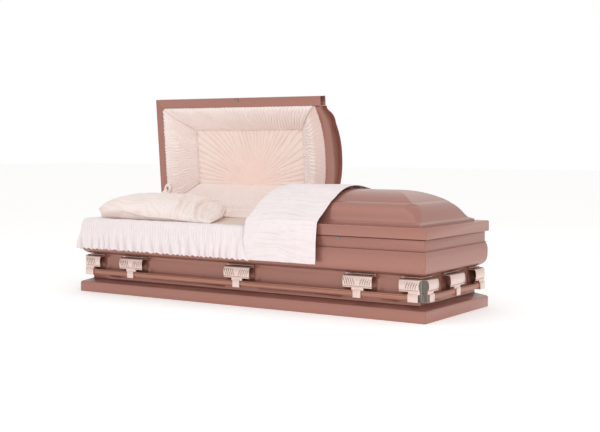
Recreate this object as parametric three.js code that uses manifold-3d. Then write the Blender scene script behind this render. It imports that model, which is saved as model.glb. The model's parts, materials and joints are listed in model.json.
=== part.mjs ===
// A half couch steel casket, head lid open and foot lid closed, in millimetres.
// +X runs along the casket to the foot end, the front is at -Y, the hinges are at the back (+Y)
// and +Z is up. The origin is the middle of the underside, which stands on the floor.

import * as THREE from 'three';
import { mergeVertices } from 'three/addons/utils/BufferGeometryUtils.js';
import Module from 'manifold-3d';

const wasm = await Module();
wasm.setup();

// Sheet steel body
const outlineLength = 2134;
const outlineWidth = 700;
const sheet = 1.2;
const fitGap = 0.3;
const baseFaceHeight = 50;
const baseHeight = 73;
const baseFlange = 44;
const recessInset = 51;
const panelHeight = 139;
const fieldDepth = 9;
const fieldSlope = 18;
const swellHeight = 118;
const bandHeight = 50;
const bandInset = 15;
const swellOut = 3.5;
const flangeWidth = 46;
const flangeStep = 3.2;
const panLip = 18;

// Lids
const lidSeam = 4;
const rimHeight = 52.5;
const rimWidth = 53;
const crownRise = 53.5;
const crownCurve = 2.2;
const ridgeHalfWidth = 20;
const shoulderRadius = 75;
const cutX = 93;
const cutGap = 0.5;
const headerRecess = 20;
const headerDepth = 28;
const archRise = 84;
const archCurve = 2.3;
const hingeOut = 2;
const hingeDrop = 6;
const openAngle = 85.4;

// Handle hardware
const barDiameter = 30;
const barInset = 18;
const barCentreHeight = 114;
const barFit = 0.4;
const claspWidth = 42;
const claspWall = 3;
const strapWidth = 65;
const castWall = 3.5;
const hoodWidth = 158;
const hoodBottom = 142;
const hoodHeight = 58;
const hoodInset = 2.3;
const hoodBottomSetback = 4.5;
const hoodTopSetback = 12.7;
const plateThickness = 4.7;
const plateMargin = 4;
const plateDrop = 14;
const plateLedge = 8.5;
const bracketFromEnd = 363;
const strapThickness = 12;
const padMargin = 12;
const cornerReach = 141;
const cornerClaspReach = 94;
const cornerChamfer = 41.6;
const cornerBoreDepth = 34;

// Hinges, latch and catch
const knuckleRadius = 5;
const pinRadius = 2;
const pinFit = 0.3;
const knuckleLength = 140;
const leafThickness = 1.8;
const leafHeight = 36;
const hingeMargin = 70;
const latchX = -472;
const latchWidth = 26;
const latchInset = 4;
const latchDepth = 18;
const catchX = 594;
const catchWidth = 18;
const catchHeight = 11;

// Bed, lining and cloth
const mattressProud = 20;
const mattressThickness = 90;
const mattressRound = 14;
const softGap = 1;
const bodyRollWidth = 46;
const bodyRollDepth = 90;
const bodyRollProud = 12;
const bedMargin = 6;
const lidRollWidth = 130;
const lidRollEndWidth = 146;
const lidRollLift = 12;
const lidRollLap = 14;
const roofRoom = 6;
const lidRoomMargin = 3;
const lidPanelDrop = 84;
const lidPanelThickness = 8;
const lidPanelVault = 22;
const pillowLength = 775;
const pillowWidth = 530;
const pillowHeight = 130;
const pillowX = -628;
const pillowEdge = 14;
const pillowHeadEdge = 56;
const pillowFootFall = 0.85;
const skirtThickness = 4;
const skirtDrop = 134;
const skirtPuff = 18;
const skirtFlare = 36;
const skirtCorner = 34;
const throwThickness = 8;
const throwEdgeX = 490;
const throwBack = 250;
const throwHang = 196;

// Facets round a bar or its bore
const roundSides = 14;

// Heights and places that follow from the sizes above
const halfLength = outlineLength / 2;
const halfWidth = outlineWidth / 2;
const panelTop = baseHeight + panelHeight;
const swellTop = panelTop + swellHeight;
const bodyTop = swellTop + bandHeight;
const rimBottom = bodyTop + lidSeam;
const rimTop = rimBottom + rimHeight;
const hingeY = halfWidth + hingeOut;
const hingeZ = rimBottom - hingeDrop;
const mattressTop = bodyTop + mattressProud;
const bracketSpacing = halfLength - bracketFromEnd;
const openTurn = THREE.MathUtils.degToRad(openAngle);
const insideInset = rimWidth + 2;
const hoodTop = hoodBottom + hoodHeight;
const plateInset = recessInset - fitGap - plateThickness;

// Colours of the real finishes
const finishes = {
  paint: { color: 0xa67b6e, roughness: 0.38, metalness: 0.55 },
  hardware: { color: 0xd3ab9a, roughness: 0.32, metalness: 0.9 },
  bar: { color: 0xa8735f, roughness: 0.35, metalness: 0.85 },
  latch: { color: 0xb9bcc0, roughness: 0.3, metalness: 0.9 },
  hinge: { color: 0x9c8f88, roughness: 0.45, metalness: 0.85 },
  crepe: { color: 0xf0e2dc, roughness: 0.85, metalness: 0 },
  velvetCrepe: { color: 0xeee4e4, roughness: 0.88, metalness: 0 },
  ticking: { color: 0xe6d5cb, roughness: 0.9, metalness: 0 },
};

const casket = new THREE.Group();
casket.name = 'casket';

function addMesh(parent, name, geometry, finish) {
  geometry.computeVertexNormals();
  const mesh = new THREE.Mesh(geometry, new THREE.MeshStandardMaterial(finishes[finish]));
  mesh.name = name;
  parent.add(mesh);
  return mesh;
}

// A closed body from corner points and triangles, turned so that its faces point out.
function bodyFrom(points, triangles) {
  let volume = 0;
  for (const [a, b, c] of triangles) {
    const [ax, ay, az] = points[a];
    const [bx, by, bz] = points[b];
    const [cx, cy, cz] = points[c];
    volume += ax * (by * cz - bz * cy) + ay * (bz * cx - bx * cz) + az * (bx * cy - by * cx);
  }
  const order = volume > 0 ? [0, 1, 2] : [0, 2, 1];
  const geometry = new THREE.BufferGeometry();
  geometry.setAttribute('position', new THREE.Float32BufferAttribute(points.flat(), 3));
  geometry.setIndex(triangles.flatMap((t) => order.map((k) => t[k])));
  return geometry;
}

// A sheet with a wall: the same mesh of faces outside and inside, closed all round its edges.
function sheetBody(outer, inner, faces) {
  const count = outer.length;
  const triangles = [];
  const edges = new Map();
  for (const [a, b, c] of faces) {
    triangles.push([a, b, c], [a + count, c + count, b + count]);
    for (const [from, to] of [[a, b], [b, c], [c, a]]) {
      edges.set(`${from},${to}`, [from, to]);
    }
  }
  for (const [from, to] of edges.values()) {
    if (!edges.has(`${to},${from}`)) {
      triangles.push([to, from, from + count], [to, from + count, to + count]);
    }
  }
  return bodyFrom([...outer, ...inner], triangles);
}

function gridFaces(rows, columns) {
  const faces = [];
  for (let row = 0; row < rows - 1; row += 1) {
    for (let column = 0; column < columns - 1; column += 1) {
      const a = row * columns + column;
      const b = a + columns;
      faces.push([a, b, b + 1], [a, b + 1, a + 1]);
    }
  }
  return faces;
}

// A closed body through a row of closed outlines that all have as many points.
function loftBody(outlines, capShape) {
  const count = outlines[0].length;
  const points = outlines.flat();
  const triangles = [];
  for (let step = 0; step < outlines.length - 1; step += 1) {
    for (let k = 0; k < count; k += 1) {
      const a = step * count + k;
      const b = step * count + ((k + 1) % count);
      triangles.push([a, b, b + count], [a, b + count, a + count]);
    }
  }
  const last = points.length - count;
  const flat = capShape.map(([x, y]) => new THREE.Vector2(x, y));
  const isTurned = !THREE.ShapeUtils.isClockWise(flat);
  for (const [a, b, c] of THREE.ShapeUtils.triangulateShape(flat, [])) {
    const cap = isTurned ? [a, c, b] : [a, b, c];
    triangles.push(cap, [cap[0] + last, cap[2] + last, cap[1] + last]);
  }
  return bodyFrom(points, triangles);
}

// The line beside a line of (inset, height) points, a wall's thickness to its right.
function besideLine(line, distance) {
  return line.map((point, k) => {
    const before = line[Math.max(k - 1, 0)];
    const after = line[Math.min(k + 1, line.length - 1)];
    const first = normalOf(before, point);
    const second = normalOf(point, after);
    const [nx, ny] = k === 0 ? second : first;
    const [mx, my] = k === line.length - 1 ? first : second;
    const spread = 1 + nx * mx + ny * my;
    return [point[0] + (distance * (nx + mx)) / spread, point[1] + (distance * (ny + my)) / spread];
  });
}

function normalOf([ax, ay], [bx, by]) {
  const length = Math.hypot(bx - ax, by - ay) || 1;
  return [(by - ay) / length, (ax - bx) / length];
}

// Manifold solids, for the few pieces that are cut or joined
function toSolid(geometry) {
  const bare = geometry.clone();
  bare.deleteAttribute('normal');
  bare.deleteAttribute('uv');
  const merged = mergeVertices(bare, 1e-4);
  return new wasm.Manifold(new wasm.Mesh({
    numProp: 3,
    vertProperties: new Float32Array(merged.attributes.position.array),
    triVerts: new Uint32Array(merged.index.array),
  }));
}

function fromSolid(solid) {
  const mesh = solid.getMesh();
  const geometry = new THREE.BufferGeometry();
  geometry.setAttribute('position', new THREE.BufferAttribute(mesh.vertProperties, 3));
  geometry.setIndex(new THREE.BufferAttribute(mesh.triVerts, 1));
  return geometry;
}

function boxSolid([x0, x1], [y0, y1], [z0, z1]) {
  const box = new THREE.BoxGeometry(x1 - x0, y1 - y0, z1 - z0);
  box.translate((x0 + x1) / 2, (y0 + y1) / 2, (z0 + z1) / 2);
  return toSolid(box);
}

// An outline of (inset, height) points drawn out along X: inset becomes Y and height becomes Z.
function drawnAlongX(outline, x0, x1, holes = []) {
  const shape = new THREE.Shape(outline.map(([inset, z]) => new THREE.Vector2(inset, z)));
  shape.holes.push(...holes);
  const settings = { depth: x1 - x0, bevelEnabled: false, curveSegments: roundSides };
  const geometry = new THREE.ExtrudeGeometry(shape, settings);
  const turn = new THREE.Matrix4().makeBasis(
    new THREE.Vector3(0, 1, 0),
    new THREE.Vector3(0, 0, 1),
    new THREE.Vector3(1, 0, 0),
  );
  geometry.applyMatrix4(turn);
  geometry.translate(x0, 0, 0);
  return geometry;
}

// The same outline drawn out along Y beside a corner: inset runs to -X and the run goes to +Y.
function drawnAlongY(outline, y0, y1) {
  const geometry = drawnAlongX(outline, y0, y1);
  geometry.rotateZ(Math.PI / 2);
  return geometry;
}

// The four sides of the casket, as a run along the side, an inset from the outline and a height
const sides = {
  front: { half: halfLength, point: (u, inset, z) => [u, -halfWidth + inset, z] },
  back: { half: halfLength, point: (u, inset, z) => [u, halfWidth - inset, z] },
  head: { half: halfWidth, point: (u, inset, z) => [-halfLength + inset, u, z] },
  foot: { half: halfWidth, point: (u, inset, z) => [halfLength - inset, u, z] },
};

// A sheet metal moulding along one side, mitred at both corners unless a square end is given.
function mouldingBody(side, line, squareLow = null, squareHigh = null) {
  const lineInside = besideLine(line, sheet);
  const ends = (inset) => [
    squareLow ?? -(side.half - inset - fitGap),
    squareHigh ?? side.half - inset - fitGap,
  ];
  const outer = line.flatMap(([inset, z]) => ends(inset).map((u) => side.point(u, inset, z)));
  const inner = lineInside.flatMap(([inset, z]) => ends(inset).map((u) => side.point(u, inset, z)));
  return sheetBody(outer, inner, gridFaces(line.length, 2));
}

// Base moulding: a flange under the casket, an upright face, a round edge and a slope to the panel
const baseLine = [
  [baseFlange, 0],
  [2, 0],
  [0, 2],
  [0, baseFaceHeight - 2],
  [1.5, baseFaceHeight + 3],
  [6, baseFaceHeight + 7],
  [recessInset - fitGap, baseHeight],
];

// Body moulding: soffit over the recess, the round swell, the band and the flange under the lids
const bodyLine = [
  [recessInset - fitGap, panelTop],
  [recessInset - 20, panelTop + 1],
  [21, panelTop + 7],
  [13, panelTop + 16],
  [7, panelTop + 28],
  [4.2, panelTop + 42],
  [swellOut, panelTop + 60],
  [swellOut, swellTop - 32],
  [5, swellTop - 22],
  [9, swellTop - 8],
  [bandInset, swellTop],
  [bandInset, bodyTop],
  [bandInset + 9, bodyTop],
  [bandInset + 11, bodyTop + flangeStep],
  [bandInset + flangeWidth, bodyTop + flangeStep],
  [bandInset + flangeWidth, bodyTop - 18],
];

// Lid rim: a channel open to the inside
const rimLine = [
  [rimWidth, rimBottom],
  [1, rimBottom],
  [0, rimBottom + 1],
  [0, rimTop - 3.5],
  [3.5, rimTop],
  [rimWidth, rimTop],
];

// Lid cove and shoulder above the rim, as steps in from the rim's inner edge and up from its top
const shoulderSteps = [
  [1, 0],
  [2, 10],
  [9, 14],
  [19, 19],
  [28, 32],
  [37, 49],
  [47, 66],
  [59, 80],
  [73, 91],
  [89, 98],
  [105, 104],
];
const [shoulderIn, shoulderUp] = shoulderSteps[shoulderSteps.length - 1];
const crownSteps = 6;
const crownInset = rimWidth + shoulderIn;
const crownBase = rimTop + shoulderUp;
const lidTop = crownBase + crownRise;

function crownHeight(inset) {
  const share = Math.min((inset - crownInset) / (halfWidth - crownInset), 1);
  return crownBase + crownRise * (1 - (1 - share) ** crownCurve);
}

const shellLine = shoulderSteps.map(([into, up]) => [rimWidth + into, rimTop + up]);
for (let k = 1; k <= crownSteps; k += 1) {
  const inset = crownInset + ((halfWidth - ridgeHalfWidth - crownInset) * k) / crownSteps;
  shellLine.push([inset, crownHeight(inset)]);
}
const shellInside = besideLine(shellLine, sheet);

function planRadius(inset) {
  const rising = (shoulderRadius * (inset - rimWidth)) / (shoulderIn * 0.6);
  return Math.max(2, Math.min(rising, shoulderRadius, (halfWidth - inset) * 0.4));
}

// One level of a lid: from the cut along the front, round the end of the casket and back again.
function lidLevel(towards, cut, inset, z, radius) {
  const steps = 4;
  const end = halfLength - inset;
  const side = halfWidth - inset;
  const corner = [];
  for (let k = 0; k <= steps; k += 1) {
    const angle = (Math.PI / 2) * (k / steps);
    const x = end - radius + radius * Math.sin(angle);
    corner.push([towards * x, -(side - radius + radius * Math.cos(angle)), z]);
  }
  const mirrored = corner.map(([x, y, height]) => [x, -y, height]).reverse();
  return [[cut, -side, z], ...corner, ...mirrored, [cut, side, z]];
}

function lidShellBody(towards, cut) {
  const outer = shellLine.map(([inset, z]) => lidLevel(towards, cut, inset, z, planRadius(inset)));
  const inner = shellInside.map(([inset, z], k) => {
    const radius = Math.max(planRadius(shellLine[k][0]) - (inset - shellLine[k][0]), 0.5);
    return lidLevel(towards, cut, inset, z, radius);
  });
  const columns = outer[0].length;
  const faces = gridFaces(outer.length, columns);
  const top = (outer.length - 1) * columns;
  for (let k = 0; k < columns / 2 - 1; k += 1) {
    const a = top + k;
    const b = top + k + 1;
    const c = top + columns - 2 - k;
    const d = top + columns - 1 - k;
    faces.push([a, d, c], [a, c, b]);
  }
  return sheetBody(outer.flat(), inner.flat(), faces);
}

// Header: the arched plate near the cut of a lid, with a strip of painted metal under the arch
function archHeight(inset) {
  const share = Math.min((inset - insideInset) / (halfWidth - insideInset), 1);
  return rimBottom + 4 + archRise * (1 - (1 - share) ** archCurve);
}

function mirroredAcross(points) {
  const far = points.map(([inset, z]) => [outlineWidth - inset, z]).reverse();
  return [...points, ...far];
}

function headerBody(towards, cut) {
  const room = sheet + fitGap * 2;
  const roof = besideLine(shellLine, room);
  const outside = mirroredAcross([[roof[0][0], rimBottom + 4], ...roof]);
  const archSteps = 6;
  const archPoints = [];
  for (let k = 0; k <= archSteps; k += 1) {
    const inset = insideInset + ((halfWidth - insideInset - 1) * k) / archSteps;
    archPoints.push([inset + 3 * (1 - k / archSteps), archHeight(inset)]);
  }
  const arch = mirroredAcross(archPoints);
  const stripTop = besideLine(arch, -sheet);
  const plateX = cut + towards * headerRecess;
  const backX = plateX + towards * headerDepth;
  const face = [...outside, ...arch.slice().reverse()];
  const plate = drawnAlongX(face, ...inOrder(plateX, plateX + towards * sheet));
  const strip = drawnAlongX([...arch, ...stripTop.slice().reverse()], ...inOrder(plateX, backX));
  const joined = toSolid(plate).add(toSolid(strip));
  const body = fromSolid(joined);
  body.translate(0, -halfWidth, 0);
  return body;
}

function inOrder(a, b) {
  return a < b ? [a, b] : [b, a];
}

// Side panel: upright sheet with fields pressed in between the pads that carry the hardware
function panelBody(side, pads) {
  const low = baseHeight + fitGap;
  const high = panelTop - fitGap;
  const end = side.half - recessInset;
  const fieldLow = low + 10;
  const fieldHigh = high - 10;
  const columns = [-end];
  for (let k = 0; k < pads.length - 1; k += 1) {
    const from = pads[k][1];
    const to = pads[k + 1][0];
    columns.push(from, from + fieldSlope, to - fieldSlope, to);
  }
  columns.push(end);
  const rows = [low, fieldLow, fieldLow + fieldSlope, fieldHigh - fieldSlope, fieldHigh, high];
  const outer = [];
  const inner = [];
  rows.forEach((z, row) => {
    columns.forEach((u, column) => {
      const isSunk = (column % 4 === 2 || column % 4 === 3) && (row === 2 || row === 3);
      const inset = recessInset + (isSunk ? fieldDepth : 0);
      const isEnd = Math.abs(u) === end;
      const pulledIn = (depth) => (isEnd ? Math.sign(u) * (side.half - depth - fitGap) : u);
      outer.push(side.point(pulledIn(inset), inset, z));
      inner.push(side.point(pulledIn(inset + sheet), inset + sheet, z));
    });
  });
  return sheetBody(outer, inner, gridFaces(rows.length, columns.length));
}

const padHalf = hoodWidth / 2 + plateMargin + padMargin;
const padEnd = cornerReach + plateMargin + padMargin;
const longPads = [
  [-halfLength, -(halfLength - padEnd)],
  [-bracketSpacing - padHalf, -bracketSpacing + padHalf],
  [-padHalf, padHalf],
  [bracketSpacing - padHalf, bracketSpacing + padHalf],
  [halfLength - padEnd, halfLength],
];
const shortPads = [
  [-halfWidth, -(halfWidth - padEnd)],
  [-padHalf, padHalf],
  [halfWidth - padEnd, halfWidth],
];

const body = new THREE.Group();
body.name = 'body';
casket.add(body);
for (const [name, side] of Object.entries(sides)) {
  addMesh(body, `base_moulding_${name}`, mouldingBody(side, baseLine), 'paint');
  const pads = side.half === halfLength ? longPads : shortPads;
  addMesh(body, `side_panel_${name}`, panelBody(side, pads), 'paint');
  addMesh(body, `body_moulding_${name}`, mouldingBody(side, bodyLine), 'paint');
}

// Bottom pan: a flat sheet with a turned up lip, flush with the flanges of the base moulding
function panBody() {
  const inset = baseFlange + fitGap + sheet;
  const x = halfLength - inset;
  const y = halfWidth - inset;
  const loop = (grow, z) => [
    [-x - grow, -y - grow, z],
    [x + grow, -y - grow, z],
    [x + grow, y + grow, z],
    [-x - grow, y + grow, z],
  ];
  const outer = [...loop(sheet, panLip), ...loop(sheet, 0)];
  const inner = [...loop(0, panLip), ...loop(0, sheet)];
  const faces = [[4, 5, 6], [4, 6, 7]];
  for (let k = 0; k < 4; k += 1) {
    const next = (k + 1) % 4;
    faces.push([k, next, next + 4], [k, next + 4, k + 4]);
  }
  return sheetBody(outer, inner, faces);
}
addMesh(body, 'bottom_pan', panBody(), 'paint');

// Handle brackets: one casting of back plate, curved hood, strap and the clasp round the bar
const claspSize = barDiameter + 2 * (barFit + claspWall);
const claspInset = barInset - claspSize / 2;
const claspTop = barCentreHeight + claspSize / 2;
const claspBottom = barCentreHeight - claspSize / 2;
const hoodOutline = [
  [hoodInset + hoodBottomSetback, hoodBottom],
  [hoodInset + hoodBottomSetback * 0.6, hoodBottom + hoodHeight * 0.12],
  [hoodInset + hoodBottomSetback * 0.16, hoodBottom + hoodHeight * 0.28],
  [hoodInset, hoodBottom + hoodHeight * 0.45],
  [hoodInset + hoodTopSetback * 0.03, hoodBottom + hoodHeight * 0.6],
  [hoodInset + hoodTopSetback * 0.17, hoodBottom + hoodHeight * 0.79],
  [hoodInset + hoodTopSetback * 0.45, hoodBottom + hoodHeight * 0.93],
  [hoodInset + hoodTopSetback, hoodTop],
];
const strapNear = hoodInset + hoodBottomSetback;
const hoodLining = besideLine(hoodOutline, castWall);
hoodLining[0][1] = hoodBottom - 1;
hoodLining[hoodLining.length - 1] = [hoodInset + hoodTopSetback + 1, hoodTop - castWall];

function barBore() {
  const bore = new THREE.Path();
  bore.absarc(barInset, barCentreHeight, barDiameter / 2 + barFit, 0, Math.PI * 2, true);
  return bore;
}

function claspOutline() {
  return [
    [claspInset, claspBottom],
    [claspInset + claspSize, claspBottom],
    [claspInset + claspSize, claspTop],
    [claspInset, claspTop],
  ];
}

function plateOutline() {
  const back = recessInset - fitGap;
  return [
    [back, hoodBottom - plateDrop],
    [back, hoodTop + plateLedge],
    [plateInset - 6, hoodTop + plateLedge],
    [plateInset - 8, hoodTop + plateLedge - 2],
    [plateInset - 8, hoodTop + plateLedge - 5],
    [plateInset, hoodTop + plateLedge - 5.5],
    [plateInset, hoodBottom - plateDrop],
  ];
}

function bracketBody() {
  const back = recessInset - fitGap;
  const half = hoodWidth / 2;
  const hood = [
    ...hoodOutline,
    [back, hoodTop],
    [back, hoodTop - castWall],
    ...hoodLining.slice().reverse(),
  ];
  hood[hood.length - 1] = [hoodInset + hoodBottomSetback + castWall, hoodBottom];
  const strap = [strapNear, strapNear + strapThickness];
  const solid = toSolid(drawnAlongX(hood, -half, half))
    .add(toSolid(drawnAlongX(plateOutline(), -half - plateMargin, half + plateMargin)))
    .add(boxSolid([-strapWidth / 2, strapWidth / 2], strap, [claspTop - 3, hoodBottom + 5]))
    .add(toSolid(drawnAlongX(claspOutline(), -claspWidth / 2, claspWidth / 2, [barBore()])));
  return fromSolid(solid);
}

function addBrackets(name, places, x, y, turn) {
  places.forEach(([suffix, along]) => {
    const mesh = addMesh(body, `${name}${suffix}`, bracketBody(), 'hardware');
    mesh.position.set(x + along * Math.cos(turn), y + along * Math.sin(turn), 0);
    mesh.rotation.z = turn;
  });
}

const quarter = Math.PI / 2;
const alongSide = [['_head', -bracketSpacing], ['_middle', 0], ['_foot', bracketSpacing]];
addBrackets('bracket_front', alongSide, 0, -halfWidth, 0);
addBrackets('bracket_back', alongSide.map(([suffix, along]) => [suffix, -along]), 0, halfWidth, 2 * quarter);
addBrackets('bracket_foot_end', [['', 0]], halfLength, 0, quarter);
addBrackets('bracket_head_end', [['', 0]], -halfLength, 0, -quarter);

// Corner casting: the same hood and clasp wrapped round a corner and cut off flat across it.
// Its own frame has the outline's corner at the origin, one leg towards -X and one towards +Y.
function crossedSolid(outline, reach) {
  const alongX = toSolid(drawnAlongX(outline, -reach, 0));
  const alongY = toSolid(drawnAlongY(outline, 0, reach));
  return alongX.intersect(alongY);
}

function cornerBody() {
  const back = recessInset - fitGap;
  const far = cornerReach + 20;
  const flatSide = (offset, z0, z1) => {
    const shape = new THREE.Shape([
      new THREE.Vector2(20, -20),
      new THREE.Vector2(-offset - 20, -20),
      new THREE.Vector2(20, offset + 20),
    ]);
    const prism = new THREE.ExtrudeGeometry(shape, { depth: z1 - z0, bevelEnabled: false });
    prism.translate(0, 0, z0);
    return toSolid(prism);
  };
  const hoodFilled = [...hoodOutline, [cornerReach, hoodTop], [cornerReach, hoodBottom]];
  const hoodHollow = [...hoodLining, [far, hoodTop - castWall], [far, hoodBottom - 1]];
  const inner = boxSolid([-far, -back], [back, far], [0, hoodTop + plateLedge + 10]);
  const filled = crossedSolid(hoodFilled, cornerReach);
  const hollow = crossedSolid(hoodHollow, far);
  const claspFilled = crossedSolid([
    [claspInset, claspBottom],
    [cornerClaspReach, claspBottom],
    [cornerClaspReach, claspTop],
    [claspInset, claspTop],
  ], cornerClaspReach);
  const claspInner = boxSolid(
    [-far, -claspInset - claspSize],
    [claspInset + claspSize, far],
    [claspBottom - 1, claspTop + 1],
  );
  const strapFilled = crossedSolid([
    [strapNear, claspTop - 3],
    [cornerClaspReach, claspTop - 3],
    [cornerClaspReach, hoodBottom + 5],
    [strapNear, hoodBottom + 5],
  ], cornerClaspReach);
  const strapReach = strapNear + strapThickness;
  const strapInner = boxSolid([-far, -strapReach], [strapReach, far], [claspTop - 4, hoodBottom + 6]);
  const faceBand = flatSide(cornerChamfer + castWall * 2, 0, hoodTop + 20)
    .subtract(flatSide(cornerChamfer, -1, hoodTop + 21));
  const plates = crossedPlates(back);
  const bores = cornerBores();
  const whole = filled.subtract(hollow)
    .add(strapFilled.subtract(strapInner))
    .add(filled.intersect(faceBand))
    .add(claspFilled.subtract(claspInner))
    .subtract(inner)
    .add(plates)
    .subtract(flatSide(cornerChamfer, -1, hoodTop + 21))
    .subtract(bores);
  return fromSolid(whole);
}

function crossedPlates(back) {
  const legX = toSolid(drawnAlongX(plateOutline(), -cornerReach - plateMargin, -back));
  const legY = toSolid(drawnAlongY(plateOutline(), back, cornerReach + plateMargin));
  const ledgeX = toSolid(drawnAlongX(plateOutline(), -back - 1, -plateInset + 8));
  const ledgeY = toSolid(drawnAlongY(plateOutline(), plateInset - 8, back + 1));
  return legX.add(legY).add(ledgeX.intersect(ledgeY));
}

function cornerBores() {
  const stop = cornerClaspReach - cornerBoreDepth;
  const round = new THREE.CylinderGeometry(
    barDiameter / 2 + barFit,
    barDiameter / 2 + barFit,
    cornerBoreDepth + 10,
    roundSides,
  );
  const middle = stop + (cornerBoreDepth + 10) / 2;
  const first = round.clone().rotateZ(quarter).translate(-middle, barInset, barCentreHeight);
  const second = round.clone().translate(-barInset, middle, barCentreHeight);
  return toSolid(first).add(toSolid(second));
}

const corners = [
  ['corner_foot_front', halfLength, -halfWidth, 0],
  ['corner_foot_back', halfLength, halfWidth, quarter],
  ['corner_head_back', -halfLength, halfWidth, 2 * quarter],
  ['corner_head_front', -halfLength, -halfWidth, 3 * quarter],
];
for (const [name, x, y, turn] of corners) {
  const mesh = addMesh(body, name, cornerBody(), 'hardware');
  mesh.position.set(x, y, 0);
  mesh.rotation.z = turn;
}

// Handle bars: round tubes held in the clasps, ending inside the corner castings
const barEnd = cornerClaspReach - cornerBoreDepth + 2;
const bars = [
  ['bar_front', halfLength - barEnd, 0, -halfWidth + barInset, 0],
  ['bar_back', halfLength - barEnd, 0, halfWidth - barInset, 0],
  ['bar_foot_end', halfWidth - barEnd, halfLength - barInset, 0, quarter],
  ['bar_head_end', halfWidth - barEnd, -halfLength + barInset, 0, quarter],
];
for (const [name, half, x, y, turn] of bars) {
  const bar = new THREE.CylinderGeometry(barDiameter / 2, barDiameter / 2, half * 2, roundSides);
  bar.rotateZ(quarter);
  const mesh = addMesh(body, name, bar, 'bar');
  mesh.position.set(x, y, barCentreHeight);
  mesh.rotation.z = turn;
}

// Bed: a sheet steel deck on upright sides, with the mattress on it
const bedInset = bandInset + flangeWidth + bodyRollWidth + bedMargin;
function deckBody() {
  const x = halfLength - bedInset - mattressRound;
  const y = halfWidth - bedInset - mattressRound;
  const top = mattressTop - mattressThickness - softGap;
  const loop = (shrink, z) => [
    [-x + shrink, -y + shrink, z],
    [x - shrink, -y + shrink, z],
    [x - shrink, y - shrink, z],
    [-x + shrink, y - shrink, z],
  ];
  const outer = [...loop(0, sheet + softGap), ...loop(0, top)];
  const inner = [...loop(sheet, sheet + softGap), ...loop(sheet, top - sheet)];
  const faces = [[4, 5, 6], [4, 6, 7]];
  for (let k = 0; k < 4; k += 1) {
    const next = (k + 1) % 4;
    faces.push([k, next, next + 4], [k, next + 4, k + 4]);
  }
  return sheetBody(outer, inner, faces);
}
addMesh(body, 'bed_deck', deckBody(), 'hinge');

function mattressBody() {
  const x = halfLength - bedInset;
  const y = halfWidth - bedInset;
  const bottom = mattressTop - mattressThickness;
  const loop = (shrink, z) => [
    [-x + shrink, -y + shrink, z],
    [x - shrink, -y + shrink, z],
    [x - shrink, y - shrink, z],
    [-x + shrink, y - shrink, z],
  ];
  const loops = [
    loop(mattressRound, bottom),
    loop(0, bottom + mattressRound),
    loop(0, mattressTop - mattressRound),
    loop(mattressRound * 0.3, mattressTop - mattressRound * 0.3),
    loop(mattressRound, mattressTop),
  ];
  return loftBody(loops, [[0, 0], [1, 0], [1, 1], [0, 1]]);
}
addMesh(body, 'mattress', mattressBody(), 'ticking');

// Pillow: a crowned cushion, flat below, with a thick end at the head and a thin one at the foot
function pillowBody() {
  const across = 8;
  const rows = [];
  const edge = (share) => Math.sqrt(Math.max(1 - Math.abs(share) ** 3.2, 0));
  for (let i = 0; i <= across; i += 1) {
    const u = -1 + (2 * i) / across;
    for (let j = 0; j <= across; j += 1) {
      const v = -1 + (2 * j) / across;
      const pull = 1 - 0.05 * (1 - u * u) * Math.abs(v) - 0.05 * (1 - v * v) * Math.abs(u);
      const x = pillowX + (pillowLength / 2) * u * pull;
      const y = (pillowWidth / 2) * v * pull;
      const lip = pillowEdge + (pillowHeadEdge - pillowEdge) * Math.max(-u, 0);
      const fall = 1 - pillowFootFall * Math.max(u, 0);
      rows.push([x, y, lip + (pillowHeight - lip) * edge(u) * edge(v) * fall]);
    }
  }
  const bottom = mattressTop + softGap;
  const top = rows.map(([x, y, height]) => [x, y, bottom + height]);
  const under = rows.map(([x, y]) => [x, y, bottom]);
  return sheetBody(top, under, gridFaces(across + 1, across + 1));
}
addMesh(body, 'pillow', pillowBody(), 'crepe');

// Lining rolls round the bed, each hung from the flange lip
const rollNear = bandInset + flangeWidth + sheet + softGap;
const rollFar = rollNear + bodyRollWidth;
const rollTop = bodyTop + bodyRollProud;
const bodyRoll = [
  [rollNear, bodyTop - bodyRollDepth],
  [rollFar, bodyTop - bodyRollDepth],
  [rollFar, rollTop - 16],
  [rollFar - 7, rollTop - 5],
  [rollFar - 20, rollTop],
  [rollNear + 12, rollTop],
  [rollNear, rollTop - 5],
];
function rollBody(side, outline, low, high) {
  const ring = (end) => outline.map(([inset, z]) => side.point(end(inset), inset, z));
  return loftBody([ring(low), ring(high)], outline);
}
for (const [name, side] of Object.entries(sides)) {
  const reach = (inset) => side.half - inset - softGap;
  const roll = rollBody(side, bodyRoll, (inset) => -reach(inset), reach);
  addMesh(body, `body_lining_${name}`, roll, 'crepe');
}

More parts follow.
